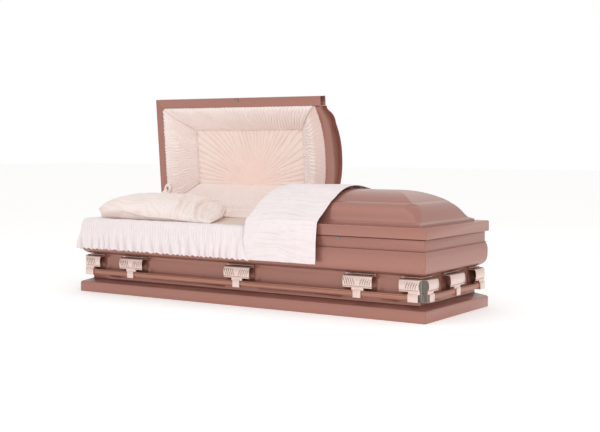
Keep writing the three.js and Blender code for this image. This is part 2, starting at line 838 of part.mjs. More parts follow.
// Skirt: the cloth that hangs over the front and the head end while the lid is open
const skirtLine = [
  [rollNear + 10, rollTop + softGap + skirtThickness],
  [rimWidth - 4, rollTop + softGap + skirtThickness + 2],
  [bandInset + 12, rollTop + 8],
  [bandInset - 2, rollTop - 2],
  [bandInset - 8, bodyTop - 14],
  [bandInset - skirtPuff + 4, bodyTop - skirtDrop * 0.45],
  [bandInset - skirtFlare, bodyTop - skirtDrop * 0.85],
  [bandInset - skirtFlare - 2, bodyTop - skirtDrop],
];
function skirtBody() {
  const level = (inset, z) => {
    const steps = 5;
    const radius = THREE.MathUtils.clamp((bandInset - 2 - inset) * 1.2, 2, skirtCorner);
    const end = halfLength - inset;
    const side = halfWidth - inset;
    const points = [[cutX - cutGap, -side, z]];
    for (let k = 0; k <= steps; k += 1) {
      const angle = quarter * (k / steps);
      const x = end - radius + radius * Math.sin(angle);
      points.push([-x, -(side - radius + radius * Math.cos(angle)), z]);
    }
    points.push([-end, halfWidth - insideInset - 40, z]);
    return points;
  };
  const lineInside = besideLine(skirtLine, -skirtThickness);
  const outer = skirtLine.map(([inset, z]) => level(inset, z));
  const inner = lineInside.map(([inset, z]) => level(inset, z));
  return sheetBody(outer.flat(), inner.flat(), gridFaces(outer.length, outer[0].length));
}
addMesh(body, 'skirt', skirtBody(), 'velvetCrepe');

// Catch plate on the body band under the foot lid
const catchPlate = new THREE.BoxGeometry(catchWidth, 2.5, catchHeight);
addMesh(body, 'foot_catch', catchPlate, 'latch')
  .position.set(catchX, -halfWidth + bandInset - 1.25 - fitGap, bodyTop - 1 - catchHeight / 2);

// The two lids, each in a group that turns about its hinge pin
function lidGroup(name, turn) {
  const group = new THREE.Group();
  group.name = name;
  group.position.set(0, hingeY, hingeZ);
  group.rotation.x = -turn;
  casket.add(group);
  return group;
}
const headLid = lidGroup('head_lid', openTurn);
const footLid = lidGroup('foot_lid', 0);

function addToLid(lid, name, geometry, finish) {
  geometry.translate(0, -hingeY, -hingeZ);
  return addMesh(lid, name, geometry, finish);
}

function addLidShell(lid, prefix, towards) {
  const cut = cutX + towards * cutGap;
  const end = towards < 0 ? 'head' : 'foot';
  const low = towards < 0 ? null : cut;
  const high = towards < 0 ? cut : null;
  addToLid(lid, `${prefix}_shell`, lidShellBody(towards, cut), 'paint');
  addToLid(lid, `${prefix}_rim_front`, mouldingBody(sides.front, rimLine, low, high), 'paint');
  addToLid(lid, `${prefix}_rim_back`, mouldingBody(sides.back, rimLine, low, high), 'paint');
  addToLid(lid, `${prefix}_rim_end`, mouldingBody(sides[end], rimLine), 'paint');
  addToLid(lid, `${prefix}_header`, headerBody(towards, cut), 'paint');
}
addLidShell(headLid, 'head_lid', -1);
addLidShell(footLid, 'foot_lid', 1);

// Lining of the head lid: four shirred rolls round a vaulted panel
const lidRoomNear = insideInset + lidRoomMargin;
const lidPanelZ = lidTop - lidPanelDrop;
function roofUnder(inset, room) {
  const line = besideLine(shellLine, sheet + room);
  if (inset < line[0][0]) {
    return line[0][1];
  }
  for (let k = 0; k < line.length - 1; k += 1) {
    const [a, za] = line[k];
    const [b, zb] = line[k + 1];
    if (inset >= a && inset <= b) {
      return za + ((zb - za) * (inset - a)) / (b - a);
    }
  }
  return crownHeight(inset) - sheet - room;
}
// The roof that a roll may reach, lowered because the shell's corners are round in plan
function cornerRoof(inset) {
  return roofUnder(Math.max(inset - shoulderRadius * 0.3, insideInset + 2), roofRoom);
}
function lidRollOutline(width) {
  const far = lidRoomNear + width;
  const share = (k) => lidRoomNear + width * k;
  const low = rimBottom + lidRollLift;
  const rise = lidPanelZ - low;
  return [
    [lidRoomNear, low],
    [share(0.25), low + rise * 0.12],
    [share(0.55), low + rise * 0.38],
    [share(0.82), low + rise * 0.72],
    [far, lidPanelZ],
    [far, lidPanelZ + lidRollLap],
    [share(0.7), cornerRoof(share(0.7))],
    [share(0.4), cornerRoof(share(0.4))],
    [share(0.2), cornerRoof(share(0.2))],
    [lidRoomNear, rimTop - roofRoom],
  ];
}
const rollRoom = cutX - cutGap - headerRecess - headerDepth - lidRoomMargin;
const sideRoll = lidRollOutline(lidRollWidth);
const endRoll = lidRollOutline(lidRollEndWidth);
const panelLowX = -halfLength + lidRoomNear + lidRollEndWidth;
const panelHighX = rollRoom - lidRollEndWidth;

function mitreShare(inset) {
  return (inset - lidRoomNear) / lidRollWidth;
}
function sideRollLow(inset) {
  return -halfLength + lidRoomNear + mitreShare(inset) * lidRollEndWidth + softGap;
}
function sideRollHigh(inset) {
  return rollRoom - mitreShare(inset) * lidRollEndWidth - softGap;
}
const frontRoll = rollBody(sides.front, sideRoll, sideRollLow, sideRollHigh);
const backRoll = rollBody(sides.back, sideRoll, sideRollLow, sideRollHigh);
addToLid(headLid, 'head_lid_lining_front', frontRoll, 'crepe');
addToLid(headLid, 'head_lid_lining_back', backRoll, 'crepe');

function endReach(inset) {
  const share = (inset - lidRoomNear) / lidRollEndWidth;
  return halfWidth - lidRoomNear - share * lidRollWidth - softGap;
}
const headRoll = rollBody(sides.head, endRoll, (inset) => -endReach(inset), endReach);
addToLid(headLid, 'head_lid_lining_head', headRoll, 'crepe');

// The roll beside the cut is arched like the header, so it is drawn through several stations.
function cutRollBody() {
  const stations = 8;
  const outline = [
    [0, 'arch'],
    [0.3, 0.16],
    [0.62, 0.5],
    [1, 1],
    [1, 'roof'],
    [0.5, 'roof'],
    [0, 'roof'],
  ];
  const rings = [];
  for (let k = 0; k <= stations; k += 1) {
    const across = -1 + (2 * k) / stations;
    rings.push(outline.map(([into, level]) => {
      const reach = halfWidth - lidRoomNear - into * lidRollWidth - softGap;
      const y = across * reach;
      const arch = archHeight(halfWidth - Math.abs(y)) + roofRoom;
      const roof = Math.min(cornerRoof(halfWidth - Math.abs(y)), lidPanelZ + lidRollLap);
      const foot = Math.min(arch, roof - 8);
      let z = foot + (lidPanelZ - foot) * level;
      if (level === 'arch') {
        z = foot;
      }
      if (level === 'roof') {
        z = roof;
      }
      return [rollRoom - into * lidRollEndWidth, y, z];
    }));
  }
  return loftBody(rings, outline.map(([into], k) => [into, k > 3 ? 2 : into]));
}
addToLid(headLid, 'head_lid_lining_cut', cutRollBody(), 'crepe');

function vaultBody(x0, x1, half, edgeZ, vault) {
  const across = 8;
  const outer = [];
  const inner = [];
  for (let k = 0; k <= across; k += 1) {
    const v = -1 + (2 * k) / across;
    const z = edgeZ + vault * (1 - v * v);
    for (const x of [x0, x1]) {
      outer.push([x, v * half, z + lidPanelThickness]);
      inner.push([x, v * half, z]);
    }
  }
  return sheetBody(outer, inner, gridFaces(across + 1, 2));
}
const panelHalf = halfWidth - lidRoomNear - lidRollWidth - softGap;
const sunburst = vaultBody(panelLowX + softGap, panelHighX - softGap, panelHalf, lidPanelZ, lidPanelVault);
addToLid(headLid, 'sunburst_panel', sunburst, 'crepe');

// Plain lining panel of the foot lid
const footPanelStart = cutX + cutGap + headerRecess + headerDepth + lidRoomMargin;
const footPanelEnd = halfLength - crownInset - 30;
const footPanel = vaultBody(footPanelStart, footPanelEnd, panelHalf, lidPanelZ, lidPanelVault);
addToLid(footLid, 'foot_lid_lining', footPanel, 'crepe');

// Latch plate under the front rim of the head lid
const latchPlate = new THREE.BoxGeometry(latchWidth, latchDepth, lidSeam - 2 * fitGap - 0.4);
latchPlate.translate(latchX, -halfWidth + latchInset + latchDepth / 2, rimBottom - lidSeam / 2 + 0.2);
addToLid(headLid, 'head_lid_latch', latchPlate, 'latch');

// Throw: the cloth laid over the foot lid from its cut, over the ogee and down the front
function throwBody() {
  const over = besideLine(shellLine, -softGap * 1.5);
  const behind = over.filter(([inset]) => inset >= halfWidth - throwBack);
  const ahead = over.filter(([inset]) => inset > crownInset - 20);
  const line = [
    ...behind.map(([inset, z]) => [outlineWidth - inset, z]),
    ...ahead.reverse(),
    [rimWidth + shoulderIn * 0.62, rimTop + shoulderUp * 0.86],
    [rimWidth + shoulderIn * 0.25, rimTop + shoulderUp * 0.56],
    [rimWidth - 21, rimTop + 22],
    [5, rimTop + 5],
    [-5, rimTop - 12],
    [-9, rimTop - throwHang * 0.35],
    [-13, rimTop - throwHang * 0.7],
    [-16, rimTop - throwHang],
  ];
  const outerLine = besideLine(line, throwThickness);
  const ends = [cutX + cutGap + 2, throwEdgeX];
  const outer = outerLine.flatMap(([inset, z]) => ends.map((x) => [x, -halfWidth + inset, z]));
  const inner = line.flatMap(([inset, z]) => ends.map((x) => [x, -halfWidth + inset, z]));
  return sheetBody(outer, inner, gridFaces(line.length, 2));
}
addToLid(footLid, 'throw', throwBody(), 'velvetCrepe');

// Hinges: one long hinge to each lid, with a pin through knuckles that take turns
function hingeBodies(x0, x1) {
  const pairs = Math.floor((x1 - x0) / knuckleLength / 2);
  const start = (x0 + x1) / 2 - (pairs * 2 + 1) * knuckleLength * 0.5;
  const end = start + (pairs * 2 + 1) * knuckleLength;
  const round = (radius, from, to) => {
    const bar = new THREE.CylinderGeometry(radius, radius, to - from, 8);
    bar.rotateZ(quarter);
    bar.translate((from + to) / 2, hingeY, hingeZ);
    return toSolid(bar);
  };
  const faceY = halfWidth - bandInset + fitGap;
  const bodyLeaf = boxSolid([start, end], [faceY, faceY + leafThickness], [hingeZ - leafHeight, hingeZ - 1]);
  let bodySide = bodyLeaf.add(round(pinRadius, start, end));
  const lidFace = halfWidth + fitGap;
  const leafReach = [lidFace, lidFace + leafThickness];
  let lidSide = boxSolid([start, end], leafReach, [rimBottom + 1, rimBottom + leafHeight]);
  for (let k = 0; k < pairs * 2 + 1; k += 1) {
    const from = start + k * knuckleLength + fitGap;
    const to = from + knuckleLength - 2 * fitGap;
    if (k % 2 === 0) {
      const web = boxSolid([from, to], [faceY, hingeY], [hingeZ - 4, hingeZ - 1]);
      bodySide = bodySide.add(round(knuckleRadius, from, to)).add(web);
    } else {
      const web = boxSolid([from, to], [lidFace, lidFace + leafThickness], [hingeZ + 3, rimBottom + 2]);
      const ring = round(knuckleRadius, from, to).add(web);
      lidSide = lidSide.add(ring.subtract(round(pinRadius + pinFit, from - 1, to + 1)));
    }
  }
  return [fromSolid(bodySide), fromSolid(lidSide)];
}

const hingeRuns = [
  [headLid, 'head_lid', -halfLength + hingeMargin, cutX - hingeMargin],
  [footLid, 'foot_lid', cutX + hingeMargin, halfLength - hingeMargin],
];
for (const [lid, prefix, from, to] of hingeRuns) {
  const [bodySide, lidSide] = hingeBodies(from, to);
  addMesh(body, `${prefix}_hinge_body_leaf`, bodySide, 'hinge');
  addToLid(lid, `${prefix}_hinge_lid_leaf`, lidSide, 'hinge');
}

export default casket;
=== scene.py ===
"""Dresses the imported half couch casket: lacquered steel, brushed hardware and a shirred cloth interior.

Lengths in the classes are millimetres, as on the maker's drawing, and become metres where a mesh is made.
X runs to the foot end, -Y is the front, +Z is up, and the origin is the middle of the underside.
"""
from __future__ import annotations

import json
import logging
import math
from contextlib import contextmanager
from dataclasses import dataclass
from enum import Enum
from typing import Callable, Iterator, Sequence

import bpy
import numpy as np
from mathutils import Matrix, Vector

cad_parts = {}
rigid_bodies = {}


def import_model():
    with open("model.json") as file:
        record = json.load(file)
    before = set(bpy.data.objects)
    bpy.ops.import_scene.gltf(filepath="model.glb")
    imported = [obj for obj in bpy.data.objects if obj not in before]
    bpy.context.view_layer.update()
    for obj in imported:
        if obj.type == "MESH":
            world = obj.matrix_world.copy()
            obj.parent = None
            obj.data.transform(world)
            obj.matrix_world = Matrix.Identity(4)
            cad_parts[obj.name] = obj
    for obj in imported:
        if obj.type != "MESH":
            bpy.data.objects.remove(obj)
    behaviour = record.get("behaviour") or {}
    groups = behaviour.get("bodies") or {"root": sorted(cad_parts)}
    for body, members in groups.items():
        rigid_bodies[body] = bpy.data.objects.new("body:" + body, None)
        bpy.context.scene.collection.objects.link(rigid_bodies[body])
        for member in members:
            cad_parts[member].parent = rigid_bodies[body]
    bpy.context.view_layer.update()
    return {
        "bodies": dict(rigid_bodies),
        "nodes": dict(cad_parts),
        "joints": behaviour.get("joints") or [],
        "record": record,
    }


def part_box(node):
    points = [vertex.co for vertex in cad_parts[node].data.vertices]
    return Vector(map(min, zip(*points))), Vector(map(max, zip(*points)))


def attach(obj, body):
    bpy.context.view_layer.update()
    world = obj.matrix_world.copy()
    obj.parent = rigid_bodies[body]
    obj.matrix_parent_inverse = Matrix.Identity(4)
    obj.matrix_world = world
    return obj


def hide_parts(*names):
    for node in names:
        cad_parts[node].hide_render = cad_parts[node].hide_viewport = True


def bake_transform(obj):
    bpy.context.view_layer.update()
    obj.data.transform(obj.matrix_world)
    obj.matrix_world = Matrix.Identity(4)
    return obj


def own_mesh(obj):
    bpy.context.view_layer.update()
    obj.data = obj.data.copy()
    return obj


LOG = logging.getLogger("casket")
MM = 0.001
# Metres within which points of a mesh become one
MERGE = 0.02 * MM
# Degrees within which faces of a copied node count as flat
FLAT_ANGLE = 0.6
# Degrees by which an edge has to be sharper than the smooth ones to be rounded
BEVEL_MARGIN = 3.0

# The loaded frame, filled by main
FRAME: dict = {}

# Sizes shared with the part's source
HALF_LENGTH = 1067.0
HALF_WIDTH = 350.0
RIM_TOP = 436.5
CROWN_BASE = 540.5
CROWN_RISE = 53.5
CROWN_CURVE = 2.2
CROWN_INSET = 158.0
HINGE_Y = 352.0
HINGE_Z = 378.0
OPEN_ANGLE = math.radians(85.4)
CUT_X = 93.0
MATTRESS_TOP = 400.0
PANEL_Z = 510.0
PANEL_VAULT = 22.0
PANEL_LOW_X = -863.0
PANEL_HIGH_X = -104.5
PANEL_HALF = 161.0
ROLL_ROOM_X = 41.5
ROLL_NEAR = 58.0
ROLL_WIDTH = 130.0
ROLL_END_WIDTH = 146.0
BRACKET_SPACING = 704.0


class Body(Enum):
    """The CAD bodies that a piece can ride on."""

    CASKET = "body"
    HEAD_LID = "head_lid"
    FOOT_LID = "foot_lid"


class Slot(Enum):
    """The record's material slots."""

    PAINT = "paint"
    HARDWARE = "hardware"
    BAR = "bar"
    LATCH = "latch"
    HINGE = "hinge"
    CREPE = "crepe"
    PUFF = "puff_crepe"
    TICKING = "ticking"


# Finishes
def linear(hex_colour: str) -> tuple[float, float, float, float]:
    """Turns an sRGB hex colour to linear light.

    Args:
        hex_colour: Six hex digits.

    Returns:
        Red, green, blue and alpha for a shader socket.
    """
    parts = [int(hex_colour[k : k + 2], 16) / 255 for k in (0, 2, 4)]
    low = [p / 12.92 if p <= 0.04045 else ((p + 0.055) / 1.055) ** 2.4 for p in parts]
    return (*low, 1.0)


def add_node(
    tree: bpy.types.NodeTree, kind: str, inputs: dict | None = None, **settings: object
) -> bpy.types.Node:
    """Adds one shader node.

    Args:
        tree: The material's node tree.
        kind: The node's type name.
        inputs: Socket name or number to a value, or to an output socket that is linked to it.
        **settings: Attributes of the node.

    Returns:
        The new node.
    """
    node = tree.nodes.new(kind)
    for name, value in settings.items():
        setattr(node, name, value)
    for key, value in (inputs or {}).items():
        if isinstance(value, bpy.types.NodeSocket):
            tree.links.new(value, node.inputs[key])
        else:
            node.inputs[key].default_value = value
    return node


@dataclass(frozen=True)
class Finish:
    """A finish of the real casket.

    Lengths are millimetres. stretch is how much longer the pattern is along X, Y and Z. valley is painted
    shade, a darker colour low in the folds, up to valley_reach of their height, and blush a colour that
    fades out round a point.
    """

    name: str
    light: str
    dark: str
    metallic: float = 0.0
    roughness: float = 0.5
    rough_spread: float = 0.0
    coat: float = 0.0
    coat_roughness: float = 0.1
    sheen: float = 0.0
    specular: float = 0.5
    pattern: float = 2.0
    stretch: tuple[float, float, float] = (1.0, 1.0, 1.0)
    relief: float = 0.0
    relief_pattern: float = 1.0
    contrast: float = 0.5
    valley: str = ""
    valley_reach: float = 0.55
    blush: str = ""
    blush_centre: tuple[float, float, float] = (0.0, 0.0, 0.0)
    blush_reach: float = 300.0

    def material(self) -> bpy.types.Material:
        """Makes the material once and hands it out again after that.

        Returns:
            The material, with its node tree.
        """
        made = bpy.data.materials.get(self.name)
        if made:
            return made
        made = bpy.data.materials.new(self.name)
        made.use_nodes = True
        tree = made.node_tree
        tree.nodes.clear()
        place = add_node(tree, "ShaderNodeTexCoord").outputs["Object"]
        grain = self.grain(tree, place, self.pattern, detail=4.0, roughness=0.6)
        shader = add_node(tree, "ShaderNodeBsdfPrincipled", {
            "Base Color": self.colour(tree, place, grain), "Metallic": self.metallic,
            "Roughness": self.roughness, "Coat Weight": self.coat, "Coat Roughness": self.coat_roughness,
            "Sheen Weight": self.sheen, "Specular IOR Level": self.specular,
        })
        if self.rough_spread:
            rough = add_node(tree, "ShaderNodeMapRange", {
                "Value": grain, "To Min": self.roughness - self.rough_spread,
                "To Max": self.roughness + self.rough_spread,
            })
            tree.links.new(rough.outputs["Result"], shader.inputs["Roughness"])
        if self.relief:
            height = self.grain(tree, place, self.relief_pattern, detail=2.0, roughness=0.55)
            bump = add_node(tree, "ShaderNodeBump", {
                "Height": height, "Strength": 1.0, "Distance": self.relief * MM,
            })
            tree.links.new(bump.outputs["Normal"], shader.inputs["Normal"])
        add_node(tree, "ShaderNodeOutputMaterial", {"Surface": shader.outputs["BSDF"]})
        return made

    def grain(self, tree: bpy.types.NodeTree, place: bpy.types.NodeSocket, pattern: float,
              detail: float, roughness: float) -> bpy.types.NodeSocket:
        """Adds a random grain with a real size.

        Args:
            tree: The material's node tree.
            place: The coordinates.
            pattern: Millimetres from hill to hill.
            detail: How many finer layers the noise has.
            roughness: How strong the finer layers are.

        Returns:
            The grain, 0 to 1.
        """
        scale = [1.0 / MM / pattern / share for share in self.stretch]
        mapping = add_node(tree, "ShaderNodeMapping", {"Vector": place, "Scale": scale})
        return add_node(tree, "ShaderNodeTexNoise", {
            "Vector": mapping.outputs["Vector"], "Scale": 1.0, "Detail": detail, "Roughness": roughness,
        }).outputs["Fac"]

    def colour(self, tree: bpy.types.NodeTree, place: bpy.types.NodeSocket,
               grain: bpy.types.NodeSocket) -> bpy.types.NodeSocket:
        """Mixes the light and dark colour by the grain, then the blush and the painted shade in the valleys
        of the folds.

        Args:
            tree: The material's node tree.
            place: The coordinates.
            grain: The grain, 0 to 1.

        Returns:
            The colour.
        """
        share = add_node(tree, "ShaderNodeMapRange", {
            "Value": grain, "From Min": 0.5 - self.contrast / 2, "From Max": 0.5 + self.contrast / 2,
        }).outputs["Result"]
        mix = add_node(tree, "ShaderNodeMix", {0: share, 6: linear(self.dark), 7: linear(self.light)},
                       data_type="RGBA")
        colour = mix.outputs[2]
        if self.blush:
            away = add_node(tree, "ShaderNodeVectorMath", {
                0: place, 1: [c * MM for c in self.blush_centre],
            }, operation="DISTANCE")
            near = add_node(tree, "ShaderNodeMapRange", {
                "Value": away.outputs["Value"], "From Min": 0.0, "From Max": self.blush_reach * MM,
                "To Min": 1.0, "To Max": 0.0,
            }, interpolation_type="SMOOTHSTEP").outputs["Result"]
            colour = add_node(tree, "ShaderNodeMix", {0: near, 6: colour, 7: linear(self.blush)},
                              data_type="RGBA").outputs[2]
        # Painted shade: a darker colour low in the folds, read from the fold attribute.
        if self.valley:
            fold = add_node(tree, "ShaderNodeAttribute", attribute_name="fold").outputs["Fac"]
            depth = add_node(tree, "ShaderNodeMapRange", {
                "Value": fold, "From Min": 0.0, "From Max": self.valley_reach, "To Min": 1.0, "To Max": 0.0,
            }).outputs["Result"]
            colour = add_node(tree, "ShaderNodeMix", {0: depth, 6: colour, 7: linear(self.valley)},
                              data_type="RGBA").outputs[2]
        return colour


# Sprayed lacquer with a fine metallic flake: soft highlights under a clear coat. The flake is drawn coarse.
LACQUER = Finish(
    "sprayed_rose_lacquer", "B07B6E", "A37063", metallic=0.42, roughness=0.34, rough_spread=0.04,
    coat=0.3, coat_roughness=0.08, pattern=1.6, relief=0.02, relief_pattern=4.0, contrast=0.35,
)
# Plated zinc casting, brushed upright: streaks in gloss and colour, rose gold.
PLATED = Finish(
    "brushed_rose_plating", "FBE6DE", "DCC0B5", metallic=0.9, roughness=0.32, rough_spread=0.1,
    pattern=1.1, stretch=(1.0, 1.0, 22.0), relief=0.06, relief_pattern=1.2, contrast=0.5,
)
# Back plates of the brackets: the same plating, unbrushed, drawn darker as painted shade behind the hoods
# and a painted reflection of the lacquer beside it.
BACKPLATE_PAINTED_SHADE = Finish(
    "backplate_painted_shade", "BE8E7C", "966A5B", metallic=0.8, roughness=0.4, rough_spread=0.08,
    pattern=3.0, contrast=0.5,
)
# Painted shadow in the crease under the bead of the body: lacquer drawn dark where it lies in its own
# shadow, so that the line shows.
BEAD_PAINTED_SHADOW = Finish("painted_shadow_under_bead", "6E453C", "5E3A32", metallic=0.3, roughness=0.5, pattern=4.0)
# Painted shadow lines on the hoods: plating drawn dark beside the raised leaves of the chevron, above the
# bright bead and under the back plate's ledge.
PLATING_PAINTED_SHADOW_LINE = Finish("plating_painted_shadow_line", "7C6258", "5F4A42", metallic=0.6, roughness=0.5, pattern=4.0)
# Flat cut face of the corner casting: plating with an upright grain, drawn dark as a painted reflection of
# the dark surroundings.
CORNER_FACE_PAINTED_REFLECTION = Finish(
    "corner_face_painted_reflection", "938980", "3A3532", metallic=0.75, roughness=0.42, rough_spread=0.08,
    pattern=5.0, stretch=(1.0, 1.0, 40.0), relief=0.3, relief_pattern=4.0, contrast=0.3,
)
# Handle bars: drawn steel tube in copper lacquer, with fine lines along it.
BAR_LONG = Finish(
    "drawn_copper_bar_long", "C88F7B", "9C6B5A", metallic=0.65, roughness=0.34, rough_spread=0.08,
    coat=0.2, pattern=2.6, stretch=(400.0, 1.0, 1.0), relief=0.1, relief_pattern=2.0, contrast=0.4,
)
BAR_SHORT = Finish(
    "drawn_copper_bar_short", "C88F7B", "9C6B5A", metallic=0.65, roughness=0.34, rough_spread=0.08,
    coat=0.2, pattern=2.6, stretch=(1.0, 400.0, 1.0), relief=0.1, relief_pattern=2.0, contrast=0.4,
)
# Woven crepe of the interior: matt, softly crinkled. The crinkle is drawn coarse so that it shows. Painted
# shade darkens the valleys of its folds.
CREPE = Finish(
    "woven_peach_crepe", "F9EDE8", "F6E6E0", roughness=0.88, sheen=0.15, specular=0.2,
    pattern=26.0, relief=0.35, relief_pattern=1.8, contrast=0.6, valley="E6CDC3",
)
# The same crepe, blushing to peach where the rays of the panel meet, with painted shade in the valleys of
# the pleats.
SUNBURST = Finish(
    "woven_sunburst_crepe", "FAECE5", "F8E4DB", roughness=0.88, sheen=0.15, specular=0.2,
    pattern=26.0, relief=0.3, relief_pattern=1.8, contrast=0.6, valley="EACABB",
    blush="FCE2D7", blush_centre=(-483.7, 487.0, 590.0), blush_reach=420.0,
)
# Heavier puffed crepe of the throw and skirt: cooler and paler. Painted shade darkens the valleys of its
# folds.
PUFF = Finish(
    "puffed_white_crepe", "F3E9E9", "EEE2E2", roughness=0.9, sheen=0.15, specular=0.2,
    pattern=30.0, relief=0.35, relief_pattern=2.0, contrast=0.6, valley="DBC9C9",
)
# Mattress ticking: close twill, slightly glossy and beige.
TICKING = Finish(
    "twill_beige_ticking", "E7D6CB", "DDC9BC", roughness=0.8, sheen=0.15, specular=0.25,
    pattern=18.0, relief=0.15, relief_pattern=1.2, contrast=0.5,
)
# Zinc plated spring steel of the hinges and the bed.
ZINC = Finish(
    "zinc_plated_steel", "BDBBB6", "98968F", metallic=0.9, roughness=0.38, rough_spread=0.1,
    pattern=7.0, contrast=0.5,
)
# Polished steel of the latch plates.
LATCH = Finish(
    "polished_latch_steel", "A5A19D", "6E6A66", metallic=1.0, roughness=0.22, rough_spread=0.06,
    pattern=3.0, contrast=0.5,
)


# Mesh tools
def deselect_all() -> None:
    """Leaves nothing selected, in object mode."""
    if bpy.context.object and bpy.context.object.mode != "OBJECT":
        bpy.ops.object.mode_set(mode="OBJECT")
    bpy.ops.object.select_all(action="DESELECT")


def only(obj: bpy.types.Object) -> None:
    """Makes one object the selected and active one.

    Args:
        obj: The object.
    """
    deselect_all()
    obj.select_set(True)
    bpy.context.view_layer.objects.active = obj


@contextmanager
def editing(obj: bpy.types.Object) -> Iterator[None]:
    """Selects all of a mesh in edit mode and goes back to object mode afterwards.

    Args:
        obj: The object.

    Yields:
        Nothing.
    """
    only(obj)
    bpy.ops.object.mode_set(mode="EDIT")
    bpy.ops.mesh.select_all(action="SELECT")
    yield
    bpy.ops.object.mode_set(mode="OBJECT")


def join(piece: bpy.types.Object, more: Sequence[bpy.types.Object]) -> None:
    """Joins objects to a piece.

    Args:
        piece: The piece that stays.
        more: The objects that become part of it.
    """
    only(piece)
    for other in more:
        other.select_set(True)
    bpy.ops.object.join()


def apply_modifiers(obj: bpy.types.Object) -> None:
    """Applies every modifier of an object in order.

    Args:
        obj: The object.
    """
    only(obj)
    for modifier in list(obj.modifiers):
        bpy.ops.object.modifier_apply(modifier=modifier.name)


def solidify(obj: bpy.types.Object, thickness: float) -> None:
    """Adds thickness behind the faces of a sheet.

    Args:
        obj: The sheet.
        thickness: Millimetres.
    """
    wall = obj.modifiers.new("wall", "SOLIDIFY")
    wall.thickness = thickness * MM
    wall.offset = -1
    apply_modifiers(obj)


def remesh(obj: bpy.types.Object, voxel: float) -> None:
    """Gives a closed mesh even faces.

    Args:
        obj: The object.
        voxel: Their size in millimetres.
    """
    even = obj.modifiers.new("even", "REMESH")
    even.mode = "VOXEL"
    even.voxel_size = voxel * MM
    apply_modifiers(obj)


def face_out(obj: bpy.types.Object, merge: float = 0.0) -> None:
    """Makes the faces of a mesh agree, outwards where it is closed.

    Args:
        obj: The object.
        merge: Metres within which points become one first, or 0.
    """
    with editing(obj):
        if merge:
            bpy.ops.mesh.remove_doubles(threshold=merge)
        bpy.ops.mesh.normals_make_consistent(inside=False)


def around(count: int) -> np.ndarray:
    """Gives count angles evenly round a circle, in radians."""
    return np.linspace(0, 2 * math.pi, count + 1)[:-1]


def smooth_by_angle(obj: bpy.types.Object, degrees: float) -> None:
    """Shades obj smooth, with edges sharper than the angle kept sharp."""
    only(obj)
    bpy.ops.object.shade_smooth_by_angle(angle=math.radians(degrees))


def settle(
    obj: bpy.types.Object, finish: Finish, body: Body, nodes: Sequence[str]
) -> bpy.types.Object:
    """Gives a finished mesh its material and body, and hides the CAD nodes that it stands for.

    Args:
        obj: The piece, with its place in its mesh.
        finish: The finish of its first material slot, where it has none yet.
        body: The body that it rides on.
        nodes: The CAD nodes that it replaces.

    Returns:
        The same piece.
    """
    if not obj.data.materials:
        obj.data.materials.append(finish.material())
    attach(obj, body.value)
    if nodes:
        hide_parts(*nodes)
    LOG.info("%s: %d faces on %s", obj.name, len(obj.data.polygons), body.value)
    return obj


def copy_node(node: str, name: str, bevel: float, smooth: float = 32.0) -> bpy.types.Object:
    """Copies a CAD node's mesh, merges it and rounds its edges.

    Args:
        node: The CAD node.
        name: The new piece's name.
        bevel: Width of the rounding in millimetres, or 0.
        smooth: Edges below this many degrees are shaded smooth.

    Returns:
        The new piece, riding on nothing yet.
    """
    source = FRAME["nodes"][node]
    mesh = source.data.copy()
    mesh.materials.clear()
    obj = bpy.data.objects.new(name, mesh)
    bpy.context.collection.objects.link(obj)
    with editing(obj):
        bpy.ops.mesh.remove_doubles(threshold=MERGE)
        bpy.ops.mesh.dissolve_limited(angle_limit=math.radians(FLAT_ANGLE))
    if bevel:
        rounding = obj.modifiers.new("rounding", "BEVEL")
        rounding.width = bevel * MM
        rounding.segments = 2
        rounding.limit_method = "ANGLE"
        rounding.angle_limit = math.radians(smooth + BEVEL_MARGIN)
        rounding.use_clamp_overlap = True
        apply_modifiers(obj)
    smooth_by_angle(obj, smooth)
    return obj


@dataclass(frozen=True)
class SoftNoise:
    """Smooth random hills on a lattice that repeats, the same in every run."""

    seed: int
    size: int = 61

    def __call__(self, u: np.ndarray, v: np.ndarray) -> np.ndarray:
        """Gives the height of the hills.

        Args:
            u: Place one way, where one unit is one hill.
            v: Place the other way.

        Returns:
            Heights from -1 to 1.
        """
        lattice = np.random.RandomState(self.seed).uniform(-1, 1, (self.size, self.size))
        u, v = np.broadcast_arrays(np.asarray(u, float), np.asarray(v, float))
        low_u, low_v = np.floor(u).astype(int), np.floor(v).astype(int)
        du, dv = u - low_u, v - low_v
        su, sv = du * du * (3 - 2 * du), dv * dv * (3 - 2 * dv)
        a0, a1 = low_u % self.size, (low_u + 1) % self.size
        b0, b1 = low_v % self.size, (low_v + 1) % self.size
        near = lattice[a0, b0] * (1 - su) + lattice[a1, b0] * su
        far = lattice[a0, b1] * (1 - su) + lattice[a1, b1] * su
        return near * (1 - sv) + far * sv


